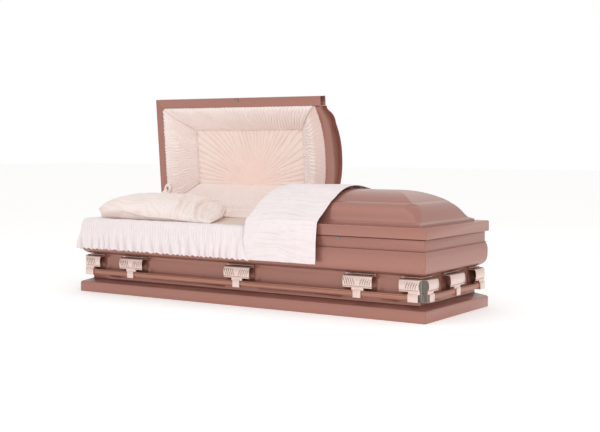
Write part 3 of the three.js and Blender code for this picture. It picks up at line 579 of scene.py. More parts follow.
@dataclass(frozen=True)
class Shirring:
    """Gathered folds: round crests with sharp valleys, finer beside the seams. Lengths in millimetres.

    wander and ripple are shares of the pitch. sweep is how far a fold leans from one seam to the other, and
    fan makes it lean less along the gathered edge. calm is the share of the width without folds at the
    outer seam.
    """

    pitch: float
    depth: float
    seed: int
    wander: float = 0.5
    edge_share: float = 0.45
    sweep: float = 0.0
    fan: float = 0.0
    ripple: float = 0.0
    waves: float = 2.5
    calm: float = 0.0

    def __call__(self, along: np.ndarray, across: np.ndarray) -> np.ndarray:
        """Gives the height of the cloth over its base.

        Args:
            along: Place along the gathered edge in millimetres.
            across: Place between the seams, 0 to 1.

        Returns:
            Height in millimetres, about 0 to depth.
        """
        noise = SoftNoise(self.seed)
        drift = self.wander * noise(along / (self.pitch * 5), across * 2.6)
        drift = drift + self.wander * 0.5 * noise(along / (self.pitch * 1.7) + 9.3, across * 1.9 + 3.1)
        turn = 2 * math.pi * self.waves * across + 4 * noise(along / (self.pitch * 4) + 7.7, across + 0.5)
        drift = drift + self.ripple * np.sin(turn)
        place = along - self.sweep * (1 - self.fan * along / 1000) * across
        ridge = np.abs(np.sin(np.pi * (place / self.pitch + drift))) ** 0.75
        second = np.abs(np.sin(np.pi * (place / (self.pitch * 0.53) + drift * 1.6 + 0.4))) ** 0.8
        edge = (2 * np.abs(across - 0.5)) ** 2
        fade = 0.72 + 0.28 * noise(along / (self.pitch * 2.6) + 4.2, across * 3.3 + 1.7)
        height = self.depth * (ridge * fade + self.edge_share * edge * second)
        return height * np.clip((across - self.calm * 0.8) / (self.calm * 0.4 + 1e-6), 0.12, 1)


def through(points: Sequence[tuple[float, ...]], count: int) -> np.ndarray:
    """Draws a smooth curve through points and divides it evenly.

    Args:
        points: The points, of two or more numbers each.
        count: How many points the curve gets.

    Returns:
        An array of count points, evenly spaced by length.
    """
    given = np.asarray(points, float)
    padded = np.vstack([2 * given[0] - given[1], given, 2 * given[-1] - given[-2]])
    fine = []
    for k in range(1, len(padded) - 2):
        p0, p1, p2, p3 = padded[k - 1 : k + 3]
        for t in np.linspace(0, 1, 24, endpoint=False):
            fine.append(0.5 * (2 * p1 + (p2 - p0) * t + (2 * p0 - 5 * p1 + 4 * p2 - p3) * t**2
                               + (3 * p1 - p0 - 3 * p2 + p3) * t**3))
    fine.append(given[-1])
    line = np.array(fine)
    run = np.concatenate([[0], np.cumsum(np.linalg.norm(np.diff(line, axis=0), axis=1))])
    where = np.linspace(0, run[-1], count)
    return np.stack([np.interp(where, run, line[:, k]) for k in range(line.shape[1])], axis=1)


def grid_normals(points: np.ndarray) -> np.ndarray:
    """Gives the unit normals of a grid.

    Args:
        points: Rows by columns by three.

    Returns:
        A normal for each point.
    """
    along = np.gradient(points, axis=0)
    across = np.gradient(points, axis=1)
    normal = np.cross(along, across)
    return normal / np.maximum(np.linalg.norm(normal, axis=2, keepdims=True), 1e-9)


def mark_folds(mesh: bpy.types.Mesh, height: np.ndarray) -> None:
    """Stores how high the cloth lies in its folds, 0 in a valley to 1 on a crest, for the painted shade in
    its valleys.
    """
    layer = mesh.attributes.new("fold", "FLOAT", "POINT")
    layer.data.foreach_set("value", np.clip(height, 0, 1).astype(np.float32).ravel())


def grid_quads(index: np.ndarray) -> np.ndarray:
    """Gives the faces between the points of a grid.

    Args:
        index: The points' numbers, rows by columns.

    Returns:
        Four numbers for each face.
    """
    corners = (index[:-1, :-1], index[1:, :-1], index[1:, 1:], index[:-1, 1:])
    return np.stack(corners, axis=-1).reshape(-1, 4)


def mesh_from_grid(
    name: str, points: np.ndarray, flip: bool = False, ring: bool = False, caps: bool = False,
    thickness: float = 0.0, fold: np.ndarray | None = None,
) -> bpy.types.Object:
    """Makes a smooth mesh from a grid of points in millimetres.

    Args:
        name: The piece's name.
        points: Rows by columns by three.
        flip: Turns the faces over.
        ring: Joins the last column to the first.
        caps: Closes the first and last row with a face each, where the grid is a ring.
        thickness: Millimetres that Solidify adds behind the faces.
        fold: For each point how high it lies in its fold, 0 to 1.

    Returns:
        The new object.
    """
    rows, columns = points.shape[:2]
    index = np.arange(rows * columns).reshape(rows, columns)
    if ring:
        index = np.concatenate([index, index[:, :1]], axis=1)
    quads = grid_quads(index)
    if flip:
        quads = quads[:, ::-1]
    faces = quads.tolist()
    if caps:
        first, last = list(range(columns)), list(range((rows - 1) * columns, rows * columns))
        faces += [first if not flip else first[::-1], last[::-1] if not flip else last]
    mesh = bpy.data.meshes.new(name)
    mesh.from_pydata((points.reshape(-1, 3) * MM).tolist(), [], faces)
    mesh.validate()
    if fold is not None:
        mark_folds(mesh, fold)
    mesh.polygons.foreach_set("use_smooth", [True] * len(mesh.polygons))
    obj = bpy.data.objects.new(name, mesh)
    bpy.context.collection.objects.link(obj)
    if thickness:
        solidify(obj, thickness)
    return obj


def opened(points: np.ndarray) -> np.ndarray:
    """Turns points of the closed head lid to where they are while it stands open.

    Args:
        points: Points in millimetres, with X, Y and Z last.

    Returns:
        The turned points.
    """
    turned = points.copy()
    y, z = points[..., 1] - HINGE_Y, points[..., 2] - HINGE_Z
    turned[..., 1] = HINGE_Y + y * math.cos(OPEN_ANGLE) + z * math.sin(OPEN_ANGLE)
    turned[..., 2] = HINGE_Z - y * math.sin(OPEN_ANGLE) + z * math.cos(OPEN_ANGLE)
    return turned


class Side(Enum):
    """The four sides. A point on one is given along it, inwards from the outline, and up."""

    FRONT = "front"
    BACK = "back"
    HEAD = "head"
    FOOT = "foot"

    def place(self, along: np.ndarray, inset: np.ndarray, z: np.ndarray) -> np.ndarray:
        """Gives points in the casket's frame.

        Args:
            along: Place along the side in millimetres.
            inset: Millimetres in from the outline.
            z: Height in millimetres.

        Returns:
            X, Y and Z in millimetres.
        """
        along, inset, z = np.broadcast_arrays(along, inset, z)
        if self is Side.FRONT:
            return np.stack([along, inset - HALF_WIDTH, z], axis=-1)
        if self is Side.BACK:
            return np.stack([along, HALF_WIDTH - inset, z], axis=-1)
        if self is Side.HEAD:
            return np.stack([inset - HALF_LENGTH, along, z], axis=-1)
        return np.stack([HALF_LENGTH - inset, along, z], axis=-1)


# Steel body and lids
@dataclass
class SteelShell:
    """The lacquered sheet steel of body and lids, with its pressed edges rounded.

    shoulder holds steps in from the rim's inner edge and up from its top. The plan corner of a lid is round
    on the shoulder and crisp on the crown: corner_at holds steps in, and corner_radius the radius at each.
    """

    fold_round: float = 1.7
    sheet: float = 1.2
    sharp: float = 24.0
    mouldings: tuple[str, ...] = ("base_moulding", "side_panel", "body_moulding")
    lid_parts: tuple[str, ...] = ("rim_front", "rim_back", "rim_end", "header")
    shoulder: tuple[tuple[float, float], ...] = (
        (2.0, 10.0), (9.0, 14.0), (19.0, 19.0), (28.0, 32.0), (37.0, 49.0), (47.0, 66.0), (59.0, 80.0),
        (73.0, 91.5), (89.0, 99.5), (105.0, 104.0),
    )
    shoulder_rows: int = 40
    rim_width: float = 53.0
    rim_lap: float = 1.0
    corner_at: tuple[float, ...] = (0.0, 50.0, 74.0, 105.0)
    corner_radius: tuple[float, ...] = (2.0, 60.0, 66.0, 4.0)
    corner_steps: int = 12
    crown_corner: float = 4.0
    crown_rows: int = 22
    crown_start: float = 0.4
    ridge_half: float = 20.0
    cut_gap: float = 0.5
    inside_z: float = 420.0
    bead_inset: float = 12.0
    bead_height: float = 329.5
    bead_radius: float = 2.6
    bead_facets: int = 12
    bead_sharp: float = 50.0
    painted_shadow_normal: float = -0.2

    def build(self) -> None:
        """Rounds and paints every steel piece."""
        for kind in self.mouldings:
            for side in Side:
                self.moulding(kind, side)
        for lid in (Body.HEAD_LID, Body.FOOT_LID):
            for part in self.lid_parts:
                node = f"{lid.value}_{part}"
                piece = copy_node(node, f"painted_{node}", self.fold_round)
                settle(piece, LACQUER, lid, [node])
            self.crown(lid)
        for node, finish in (("bottom_pan", LACQUER), ("bed_deck", ZINC)):
            paint = FRAME["nodes"][node].data.materials
            paint.clear()
            paint.append(finish.material())

    def moulding(self, kind: str, side: Side) -> None:
        """Rounds and paints a moulding along one side, with a bead on the body's.

        Args:
            kind: The moulding's name in the CAD.
            side: The side.
        """
        node = f"{kind}_{side.value}"
        piece = copy_node(node, f"painted_{node}", self.fold_round)
        if kind == "body_moulding":
            piece.data.materials.append(LACQUER.material())
            join(piece, [self.bead(side)])
        settle(piece, LACQUER, Body.CASKET, [node])

    def bead(self, side: Side) -> bpy.types.Object:
        """Makes the pressed bead between swell and band along one side, mitred at its ends.

        Args:
            side: The side.

        Returns:
            The bead, its faces that look down drawn dark as painted shadow so that the crease below it
            shows.
        """
        turn = around(self.bead_facets)[None, :]
        inset = self.bead_inset + self.bead_radius * np.cos(turn)
        z = self.bead_height + self.bead_radius * np.sin(turn)
        half = HALF_LENGTH if side in (Side.FRONT, Side.BACK) else HALF_WIDTH
        along = np.array([[-1.0], [1.0]]) * (half - inset)
        bead = mesh_from_grid(f"bead_{side.value}", side.place(along, inset, z), ring=True, caps=True)
        face_out(bead)
        smooth_by_angle(bead, self.bead_sharp)
        bead.data.materials.append(LACQUER.material())
        bead.data.materials.append(BEAD_PAINTED_SHADOW.material())
        # Faces that look down get the painted shadow of the crease.
        for face in bead.data.polygons:
            face.material_index = int(face.normal.z < self.painted_shadow_normal)
        return bead

    def levels(self) -> list[tuple[float, float, float]]:
        """Gives the levels of a lid from the rim up to the ridge.

        Returns:
            Inset, height and plan radius of each level.
        """
        rows = [(self.rim_width + self.rim_lap, RIM_TOP, self.corner_radius[0])]
        steps = [(self.rim_width + into, RIM_TOP + up) for into, up in self.shoulder]
        for inset, z in through(steps, self.shoulder_rows):
            radius = np.interp(inset - self.rim_width, self.corner_at, self.corner_radius)
            rows.append((float(inset), float(z), float(radius)))
        low, high = CROWN_INSET + self.crown_start, HALF_WIDTH - self.ridge_half
        for inset in np.linspace(low, high, self.crown_rows):
            into = (inset - CROWN_INSET) / (HALF_WIDTH - CROWN_INSET)
            z = CROWN_BASE + CROWN_RISE * (1 - (1 - into) ** CROWN_CURVE)
            rows.append((inset, z, self.crown_corner))
        return rows

    def level(self, towards: int, inset: float, z: float, radius: float) -> np.ndarray:
        """Draws one level of a lid, from the cut along the front, round the end and back to the cut.

        Args:
            towards: 1 for the foot lid and -1 for the head lid.
            inset: Millimetres in from the outline.
            z: Its height.
            radius: Its plan radius at the corners.

        Returns:
            The points, of which the second half mirrors the first.
        """
        end, side = HALF_LENGTH - inset, HALF_WIDTH - inset
        turn = np.linspace(0, math.pi / 2, self.corner_steps)
        x = towards * (end - radius + radius * np.sin(turn))
        y = -(side - radius + radius * np.cos(turn))
        cut = [[CUT_X + towards * self.cut_gap, -side, z]]
        front = np.vstack([cut, np.stack([x, y, np.full_like(x, z)], axis=1)])
        return np.vstack([front, (front * [1, -1, 1])[::-1]])

    def crown(self, lid: Body) -> None:
        """Makes the shoulder and crown of a lid as one pressing, with crisp hips on the crown.

        Args:
            lid: The lid.
        """
        towards = -1 if lid is Body.HEAD_LID else 1
        grid = np.array([self.level(towards, *level) for level in self.levels()])
        middle = grid.shape[1] // 2
        strip = np.stack([grid[-1, :middle], grid[-1, middle:][::-1]])
        if lid is Body.HEAD_LID:
            grid, strip = opened(grid), opened(strip)
        node = f"{lid.value}_shell"
        ridge = mesh_from_grid("ridge_strip", strip)
        piece = mesh_from_grid(f"painted_{node}", grid)
        join(piece, [ridge])
        face_out(piece, MERGE)
        self.face_away(piece, lid)
        solidify(piece, self.sheet)
        smooth_by_angle(piece, self.sharp)
        settle(piece, LACQUER, lid, [node])

    def face_away(self, piece: bpy.types.Object, lid: Body) -> None:
        """Turns an open pressing over if its faces look into the casket.

        Args:
            piece: The pressing.
            lid: The lid that it belongs to.
        """
        centre = np.array([0.0, 0.0, self.inside_z])
        if lid is Body.HEAD_LID:
            centre = opened(centre)
        outward = sum(
            face.area * face.normal.dot(face.center - Vector((face.center.x, *(centre[1:] * MM))))
            for face in piece.data.polygons
        )
        if outward < 0:
            with editing(piece):
                bpy.ops.mesh.flip_normals()


# Hardware
@dataclass
class Hardware:
    """Cast handle brackets and corners, the bars, hinges and latch plates.

    hood_line holds inset and height of a hood's face. Each of the rods along a hood has a height, how far
    it lies behind the face, a radius and a finish. Leaves are the strokes of the chevron. The dark rods and
    the thin dark leaf beside each bright one are painted shadow lines.
    """

    edge_round: float = 0.7
    hood_line: tuple[tuple[float, float], ...] = (
        (6.8, 142.0), (5.0, 149.0), (3.02, 158.2), (2.3, 168.1), (2.68, 176.8), (4.46, 187.8), (8.0, 195.9),
        (15.0, 200.0),
    )
    hood_half: float = 79.0
    # The dark rods are painted shadow lines, above the bright bead and under the plate's ledge.
    rods: tuple[tuple[float, float, float, Finish], ...] = (
        (145.5, 0.6, 2.1, PLATED), (149.5, 0.2, 0.9, PLATING_PAINTED_SHADOW_LINE), (201.0, 1.5, 1.6, PLATING_PAINTED_SHADOW_LINE),
    )
    leaf_pitch: float = 12.5
    leaf_count: int = 5
    leaf_first: float = 10.0
    leaf_lean: float = 13.0
    leaf_curve: float = 1.6
    leaf_low: float = 152.0
    leaf_high: float = 190.0
    leaf_half: float = 2.7
    leaf_foot: float = 0.55
    leaf_proud: float = 2.0
    shadow_leaf_beside: float = 5.2
    shadow_leaf_half: float = 1.5
    plate_inset: float = 24.0
    plate_top: float = 203.0
    corner_span: tuple[float, float] = (43.0, 141.0)
    corner_leaf_first: float = 62.0
    corner_facing: float = 1.38
    corner_depth: float = 42.5
    bar_diameter: float = 30.0
    bar_flutes: int = 12
    bar_sharp: float = 20.0
    flute_depth: float = 1.5
    hinge_round: float = 0.3
    hinge_sharp: float = 50.0
    latch_round: float = 0.4

    def build(self) -> None:
        """Builds every metal fitting."""
        right = [(self.leaf_first + k * self.leaf_pitch, self.leaf_lean) for k in range(self.leaf_count)]
        pair = right + [(-at, -lean) for at, lean in right]
        for side, y, turn in (("front", -HALF_WIDTH, 0.0), ("back", HALF_WIDTH, math.pi)):
            for place, along in (("head", -BRACKET_SPACING), ("middle", 0.0), ("foot", BRACKET_SPACING)):
                self.bracket(f"bracket_{side}_{place}", pair, turn, (along, y))
        self.bracket("bracket_foot_end", [], math.pi / 2, (HALF_LENGTH, 0.0))
        self.bracket("bracket_head_end", [], -math.pi / 2, (-HALF_LENGTH, 0.0))
        self.corner("corner_foot_front", 1, -1)
        self.corner("corner_foot_back", 1, 1)
        self.corner("corner_head_back", -1, 1)
        self.corner("corner_head_front", -1, -1)
        for node in ("bar_front", "bar_back"):
            self.bar(node, BAR_LONG, 0)
        for node in ("bar_foot_end", "bar_head_end"):
            self.bar(node, BAR_SHORT, 1)
        self.small_fittings()

    def hood_inset(self, z: np.ndarray | float) -> np.ndarray | float:
        """Gives how far in from the outline the hood's face lies at a height."""
        line = np.array(self.hood_line)
        return np.interp(z, line[:, 1], line[:, 0])

    def leaf(self, at: float, lean: float, half: float, proud: float, finish: Finish) -> bpy.types.Object:
        """Makes one embossed leaf of the chevron in the bracket's own frame.

        Args:
            at: Middle of the leaf's foot along the bracket.
            lean: How far its top stands over, in millimetres.
            half: Half its width at the top.
            proud: How far it stands out of the hood.
            finish: Its finish.

        Returns:
            The leaf, with its place in its mesh.
        """
        deselect_all()
        bpy.ops.mesh.primitive_uv_sphere_add(segments=8, ring_count=10, radius=1.0)
        leaf = bpy.context.object
        co = np.array([v.co for v in leaf.data.vertices])
        share = (co[:, 2] + 1) / 2
        z = self.leaf_low + share * (self.leaf_high - self.leaf_low)
        width = half * (self.leaf_foot + (1 - self.leaf_foot) * share)
        x = at + lean * share**self.leaf_curve + co[:, 0] * width
        y = self.hood_inset(z) + co[:, 1] * proud
        leaf.data.vertices.foreach_set("co", (np.stack([x, y, z], axis=1) * MM).ravel())
        leaf.data.materials.append(finish.material())
        smooth_by_angle(leaf, 60)
        return leaf

    def rod(self, span: tuple[float, float], inset: float, z: float, radius: float,
            finish: Finish) -> bpy.types.Object:
        """Makes a thin rod along the hood in the bracket's own frame.

        Args:
            span: Where it starts and ends along the bracket.
            inset: How far in from the outline it lies.
            z: Its height.
            radius: Its radius.
            finish: Its finish.

        Returns:
            The rod, with its place in its mesh.
        """
        low, high = span
        deselect_all()
        bpy.ops.mesh.primitive_cylinder_add(vertices=10, radius=radius * MM, depth=(high - low) * MM)
        rod = bpy.context.object
        middle = Vector(((low + high) / 2, inset, z)) * MM
        rod.data.transform(Matrix.Translation(middle) @ Matrix.Rotation(math.pi / 2, 4, "Y"))
        rod.data.materials.append(finish.material())
        smooth_by_angle(rod, 50)
        return rod

    def relief(self, leaves: Sequence[tuple[float, float]], span: tuple[float, float], turn: float,
               origin: tuple[float, float]) -> list[bpy.types.Object]:
        """Makes the chevron and the rods of one hood and sets them at its place.

        Args:
            leaves: For each leaf, the middle of its foot and its lean.
            span: Where the hood starts and ends along the bracket.
            turn: The bracket's turn about Z in radians.
            origin: The bracket's place in millimetres.

        Returns:
            The pieces to join to the casting.
        """
        pieces = []
        for at, lean in leaves:
            beside = at + math.copysign(self.shadow_leaf_beside, lean)
            pieces.append(self.leaf(at, lean, self.leaf_half, self.leaf_proud, PLATED))
            # Beside each bright leaf, a thin leaf drawn dark as a painted shadow line.
            pieces.append(self.leaf(beside, lean, self.shadow_leaf_half, self.shadow_leaf_half, PLATING_PAINTED_SHADOW_LINE))
        for z, behind, radius, finish in self.rods:
            pieces.append(self.rod(span, self.hood_inset(z) + behind, z, radius, finish))
        shift = Matrix.Translation((origin[0] * MM, origin[1] * MM, 0)) @ Matrix.Rotation(turn, 4, "Z")
        for piece in pieces:
            piece.data.transform(shift)
        return pieces

    def bracket(self, node: str, leaves: Sequence[tuple[float, float]], turn: float,
                origin: tuple[float, float]) -> None:
        """Builds one bracket with its relief.

        Args:
            node: The CAD node.
            leaves: For each leaf, the middle of its foot and its lean.
            turn: The bracket's turn about Z in radians.
            origin: The bracket's place in millimetres.
        """
        piece = copy_node(node, f"plated_{node}", self.edge_round)
        piece.data.materials.append(PLATED.material())
        piece.data.materials.append(BACKPLATE_PAINTED_SHADE.material())
        # Faces on the back plate get painted shade.
        for face in piece.data.polygons:
            face.material_index = int(self.on_plate(face.center))
        join(piece, self.relief(leaves, (-self.hood_half, self.hood_half), turn, origin))
        settle(piece, PLATED, Body.CASKET, [node])

    def on_plate(self, point: Vector) -> bool:
        """Says whether a point of a casting lies on its back plate, below the plate's bright top ledge."""
        inset = min(HALF_WIDTH * MM - abs(point.y), HALF_LENGTH * MM - abs(point.x))
        return inset > self.plate_inset * MM and point.z < self.plate_top * MM

    def corner(self, node: str, sx: int, sy: int) -> None:
        """Builds a corner casting, with leaves on its long side only.

        Args:
            node: The CAD node.
            sx: 1 at the foot end and -1 at the head end.
            sy: -1 at the front and 1 at the back.
        """
        piece = copy_node(node, f"plated_{node}", self.edge_round)
        self.paint_corner(piece, sx, sy)
        origin = (sx * HALF_LENGTH, sy * HALF_WIDTH)
        turn = 0.0 if sy < 0 else math.pi
        way = sx * sy
        low, high = sorted(way * end for end in self.corner_span)
        leaves = [
            (way * (self.corner_leaf_first + k * self.leaf_pitch), -way * self.leaf_lean)
            for k in range(self.leaf_count)
        ]
        join(piece, [
            *self.relief(leaves, (low, high), turn, origin),
            *self.relief([], (-high, -low), math.pi / 2 * sx, origin),
        ])
        settle(piece, PLATED, Body.CASKET, [node])

    def paint_corner(self, piece: bpy.types.Object, sx: int, sy: int) -> None:
        """Gives a corner casting painted shade on its back plate, and a face across the corner drawn dark as
        a painted reflection.

        Args:
            piece: The casting.
            sx: 1 at the foot end and -1 at the head end.
            sy: -1 at the front and 1 at the back.
        """
        for finish in (PLATED, CORNER_FACE_PAINTED_REFLECTION, BACKPLATE_PAINTED_SHADE):
            piece.data.materials.append(finish.material())
        for face in piece.data.polygons:
            # Faces on the back plate get painted shade.
            if self.on_plate(face.center):
                face.material_index = 2
            # The face across the corner is drawn dark as a painted reflection of the dark surroundings.
            facing = face.normal.x * sx + face.normal.y * sy
            depth = (HALF_LENGTH + HALF_WIDTH) * MM - face.center.x * sx - face.center.y * sy
            if facing > self.corner_facing and depth < self.corner_depth * MM:
                face.material_index = 1

    def bar(self, node: str, finish: Finish, axis: int) -> None:
        """Builds a fluted handle bar from a turned ring, extruded along its side.

        Args:
            node: The CAD node.
            finish: Its finish.
            axis: 0 where it runs along X and 1 where it runs along Y.
        """
        low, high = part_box(node)
        deselect_all()
        bpy.ops.mesh.primitive_circle_add(
            vertices=self.bar_flutes * 2, radius=self.bar_diameter / 2 * MM, fill_type="NGON",
        )
        bar = bpy.context.object
        bar.name = f"drawn_{node}"
        for vertex in bar.data.vertices:
            if vertex.index % 2:
                vertex.co *= 1 - 2 * self.flute_depth / self.bar_diameter
        with editing(bar):
            length = high[axis] - low[axis]
            bpy.ops.mesh.extrude_region_move(TRANSFORM_OT_translate={"value": (0, 0, length)})
            bpy.ops.mesh.select_all(action="SELECT")
            bpy.ops.mesh.normals_make_consistent(inside=False)
        turn = Matrix.Rotation(math.pi / 2, 4, "Y") if axis == 0 else Matrix.Rotation(-math.pi / 2, 4, "X")
        start = (low + high) / 2
        start[axis] = low[axis]
        bar.data.transform(Matrix.Translation(start) @ turn)
        smooth_by_angle(bar, self.bar_sharp)
        settle(bar, finish, Body.CASKET, [node])

    def small_fittings(self) -> None:
        """Rounds the hinges and the latch plates."""
        for leaf in ("body_leaf", "lid_leaf"):
            for lid in (Body.HEAD_LID, Body.FOOT_LID):
                node = f"{lid.value}_hinge_{leaf}"
                piece = copy_node(node, f"plated_{node}", self.hinge_round, smooth=self.hinge_sharp)
                settle(piece, ZINC, Body.CASKET if leaf == "body_leaf" else lid, [node])
        for node, body in (("head_lid_latch", Body.HEAD_LID), ("foot_catch", Body.CASKET)):
            piece = copy_node(node, f"polished_{node}", self.latch_round)
            settle(piece, LATCH, body, [node])


# Interior
@dataclass
class RollPiece:
    """One shirred lining roll with a closed section, between two mitred ends.

    front and back hold inset and height along the section. low and high give where the mitres lie at an
    inset. arch lifts the section where it follows an arch, and shift moves the roll along X.
    """

    name: str
    side: Side
    node: str
    front: Sequence[tuple[float, float]]
    back: Sequence[tuple[float, float]]
    low: Callable[[np.ndarray], np.ndarray]
    high: Callable[[np.ndarray], np.ndarray]
    shirring: Shirring
    body: Body
    step: float = 2.6
    across: int = 22
    arch: Callable[[np.ndarray, np.ndarray, np.ndarray], np.ndarray] | None = None
    shift: float = 0.0
    seam_share: float = 0.06
    end_length: float = 9.0
    full_fold: float = 0.85
    upwards: float = 200.0

    def build(self) -> bpy.types.Object:
        """Lofts the section along the side, gathers its face and closes it.

        Returns:
            The finished roll.
        """
        face = through(self.front, self.across)
        reach = float(np.max(self.high(face[:, 0]) - self.low(face[:, 0])))
        count = int(reach / self.step)
        share = np.linspace(0, 1, count)[:, None]
        t = np.linspace(0, 1, self.across)[None, :]
        seam = np.clip(np.minimum(t, 1 - t) / self.seam_share, 0.25, 1)
        ends = np.clip(np.minimum(share, 1 - share) * count * self.step / self.end_length, 0.2, 1)
        gathered = self.shirring(share * reach, t) * seam * ends
        grid = self.loft(face, share)
        normal = grid_normals(grid)
        out = self.facing(grid, normal)
        behind = self.loft(np.array(self.back)[::-1], share)
        whole = np.concatenate([grid + normal * out * gathered[..., None], behind], axis=1)
        if self.body is Body.HEAD_LID:
            whole = opened(whole)
        crest = gathered / (self.full_fold * self.shirring.depth)
        fold = np.concatenate([crest, np.zeros(behind.shape[:2])], axis=1)
        piece = mesh_from_grid(self.name, whole, flip=out > 0, ring=True, caps=True, fold=fold)
        settle(piece, CREPE, self.body, [self.node])
        return piece

    def loft(self, line: np.ndarray, share: np.ndarray) -> np.ndarray:
        """Spreads a line of the section along the side, between the mitres.

        Args:
            line: Inset and height of each of its points.
            share: Place along the side, 0 to 1, one column.

        Returns:
            The grid, with a row for each place along the side.
        """
        inset, z = line[None, :, 0], line[None, :, 1]
        along = self.low(inset) + share * (self.high(inset) - self.low(inset))
        height = np.broadcast_to(z, along.shape)
        if self.arch:
            height = self.arch(along, np.broadcast_to(inset, along.shape), height)
        return self.side.place(along, inset, height) + [self.shift, 0.0, 0.0]

    def facing(self, grid: np.ndarray, normal: np.ndarray) -> float:
        """Says which way the cloth swells: down in a lid, and up and inwards in the bed.

        Args:
            grid: The face's points.
            normal: Its normals.

        Returns:
            1 where that is along the normals, and -1 where it is against them.
        """
        row, column = grid.shape[0] // 2, self.across // 2
        if self.body is Body.HEAD_LID:
            return 1.0 if normal[row, column, 2] < 0 else -1.0
        inwards = np.array([*-grid[row, column, :2], self.upwards])
        return 1.0 if normal[row, column] @ inwards > 0 else -1.0


@dataclass
class LidLining:
    """The head lid's interior, four shirred rolls round a pleated sunburst, and the foot lid's plain panel.

    lip and cut_band hold steps in from a roll's outer edge and heights. belly holds shares of its width,
    heights and how much of puff is taken off them.
    """

    lip: tuple[tuple[float, float], ...] = ((-4.5, 393.0), (-4.0, 386.5), (4.0, 383.5))
    belly: tuple[tuple[float, float, float], ...] = (
        (0.22, 395.0, 0.0), (0.55, 440.0, 1.0), (0.82, 478.0, 0.7),
    )
    cut_band: tuple[tuple[float, float], ...] = (
        (-13.0, 397.0), (-16.0, 390.0), (-9.0, 385.5), (10.0, 384.5), (34.0, 388.0), (60.0, 403.0),
        (96.0, 441.0), (126.0, 480.0),
    )
    puff: float = 9.0
    mitre_gap: float = 0.5
    cut_clear: float = 2.0
    pressed: float = 0.78
    front_folds: Shirring = Shirring(23.0, 8.5, 11, wander=0.45, sweep=46.0, fan=0.8, ripple=0.1)
    back_folds: Shirring = Shirring(17.0, 4.6, 12, wander=0.3, ripple=0.05)
    head_folds: Shirring = Shirring(18.0, 7.4, 13, wander=0.7, ripple=0.34, waves=2.2)
    cut_folds: Shirring = Shirring(24.0, 7.0, 14, wander=0.7, sweep=-50.0, ripple=0.2, calm=0.3)
    arch_edge: float = 55.0
    arch_width: float = 295.0
    arch_low: float = 388.0
    arch_rise: float = 84.0
    arch_curve: float = 2.3
    arch_lap: float = 4.0
    arch_limit: float = 500.0
    loop_at: tuple[float, float, float] = (-1004.0, 331.0, 546.0)
    loop_size: tuple[float, float, float] = (17.0, 20.0, 25.0)
    loop_tilt: float = 18.0
    tail_at: tuple[float, float, float] = (-1032.0, 333.0, 527.0)
    tail_size: tuple[float, float, float] = (31.0, 9.0, 10.0)
    tail_tilt: float = -34.0
    ray_count: int = 38
    ray_depth: float = 7.5
    ray_steps: int = 12
    ray_sweep: float = 96.0
    ray_start: float = 2.0
    ray_rings: int = 46
    ray_full: float = 16.0
    knot_depth: float = 2.8
    knot_reach: float = 26.0
    panel_lap: float = 2.0
    panel_backing: float = 3.0
    panel_round: float = 1.5

    def build(self) -> None:
        """Builds the rolls, the sunburst and the foot lid's panel."""
        for name, side, folds in (
            ("front", Side.FRONT, self.front_folds), ("back", Side.BACK, self.back_folds),
        ):
            roll = RollPiece(
                f"shirred_lid_roll_{name}", side, f"head_lid_lining_{name}", self.section(ROLL_WIDTH),
                self.rear(ROLL_WIDTH), self.low_x, self.high_x, folds, Body.HEAD_LID,
            )
            self.press(roll.build())
        head = RollPiece(
            "shirred_lid_roll_head", Side.HEAD, "head_lid_lining_head", self.section(ROLL_END_WIDTH),
            self.rear(ROLL_END_WIDTH), lambda inset: -self.end_reach(inset), self.end_reach,
            self.head_folds, Body.HEAD_LID,
        ).build()
        self.corner_tie(head)
        self.press(head)
        RollPiece(
            "shirred_lid_roll_cut", Side.FOOT, "head_lid_lining_cut", self.cut_section(),
            self.rear(ROLL_END_WIDTH), lambda inset: -self.cut_reach(inset), self.cut_reach,
            self.cut_folds, Body.HEAD_LID, arch=self.cut_height, across=28,
            shift=ROLL_ROOM_X + ROLL_NEAR - HALF_LENGTH,
        ).build()
        self.sunburst()
        panel = copy_node("foot_lid_lining", "plain_foot_lining", self.panel_round, smooth=40)
        settle(panel, CREPE, Body.FOOT_LID, ["foot_lid_lining"])

    def low_x(self, inset: np.ndarray) -> np.ndarray:
        """Gives the mitre at the head end of the long rolls."""
        return -HALF_LENGTH + ROLL_NEAR + (inset - ROLL_NEAR) / ROLL_WIDTH * ROLL_END_WIDTH + self.mitre_gap

    def high_x(self, inset: np.ndarray) -> np.ndarray:
        """Gives the mitre at the cut end of the long rolls."""
        return ROLL_ROOM_X - (inset - ROLL_NEAR) / ROLL_WIDTH * ROLL_END_WIDTH - self.mitre_gap

    def end_reach(self, inset: np.ndarray) -> np.ndarray:
        """Gives the mitre of the end rolls, as a distance from the middle."""
        return HALF_WIDTH - ROLL_NEAR - (inset - ROLL_NEAR) / ROLL_END_WIDTH * ROLL_WIDTH - self.mitre_gap

    def cut_reach(self, inset: np.ndarray) -> np.ndarray:
        """Gives the mitre of the roll beside the cut, kept clear of the rims."""
        return np.minimum(self.end_reach(inset), HALF_WIDTH - ROLL_NEAR + self.cut_clear)

    def section(self, width: float) -> list[tuple[float, float]]:
        """Gives the face of a roll from the rim to the panel.

        Args:
            width: The roll's width.

        Returns:
            Inset and height of its points.
        """
        far = ROLL_NEAR + width
        lip = [(ROLL_NEAR + into, z) for into, z in self.lip]
        belly = [(ROLL_NEAR + width * share, z - self.puff * less) for share, z, less in self.belly]
        return [*lip, *belly, (far - 3, PANEL_Z - 8), (far, PANEL_Z + 4)]

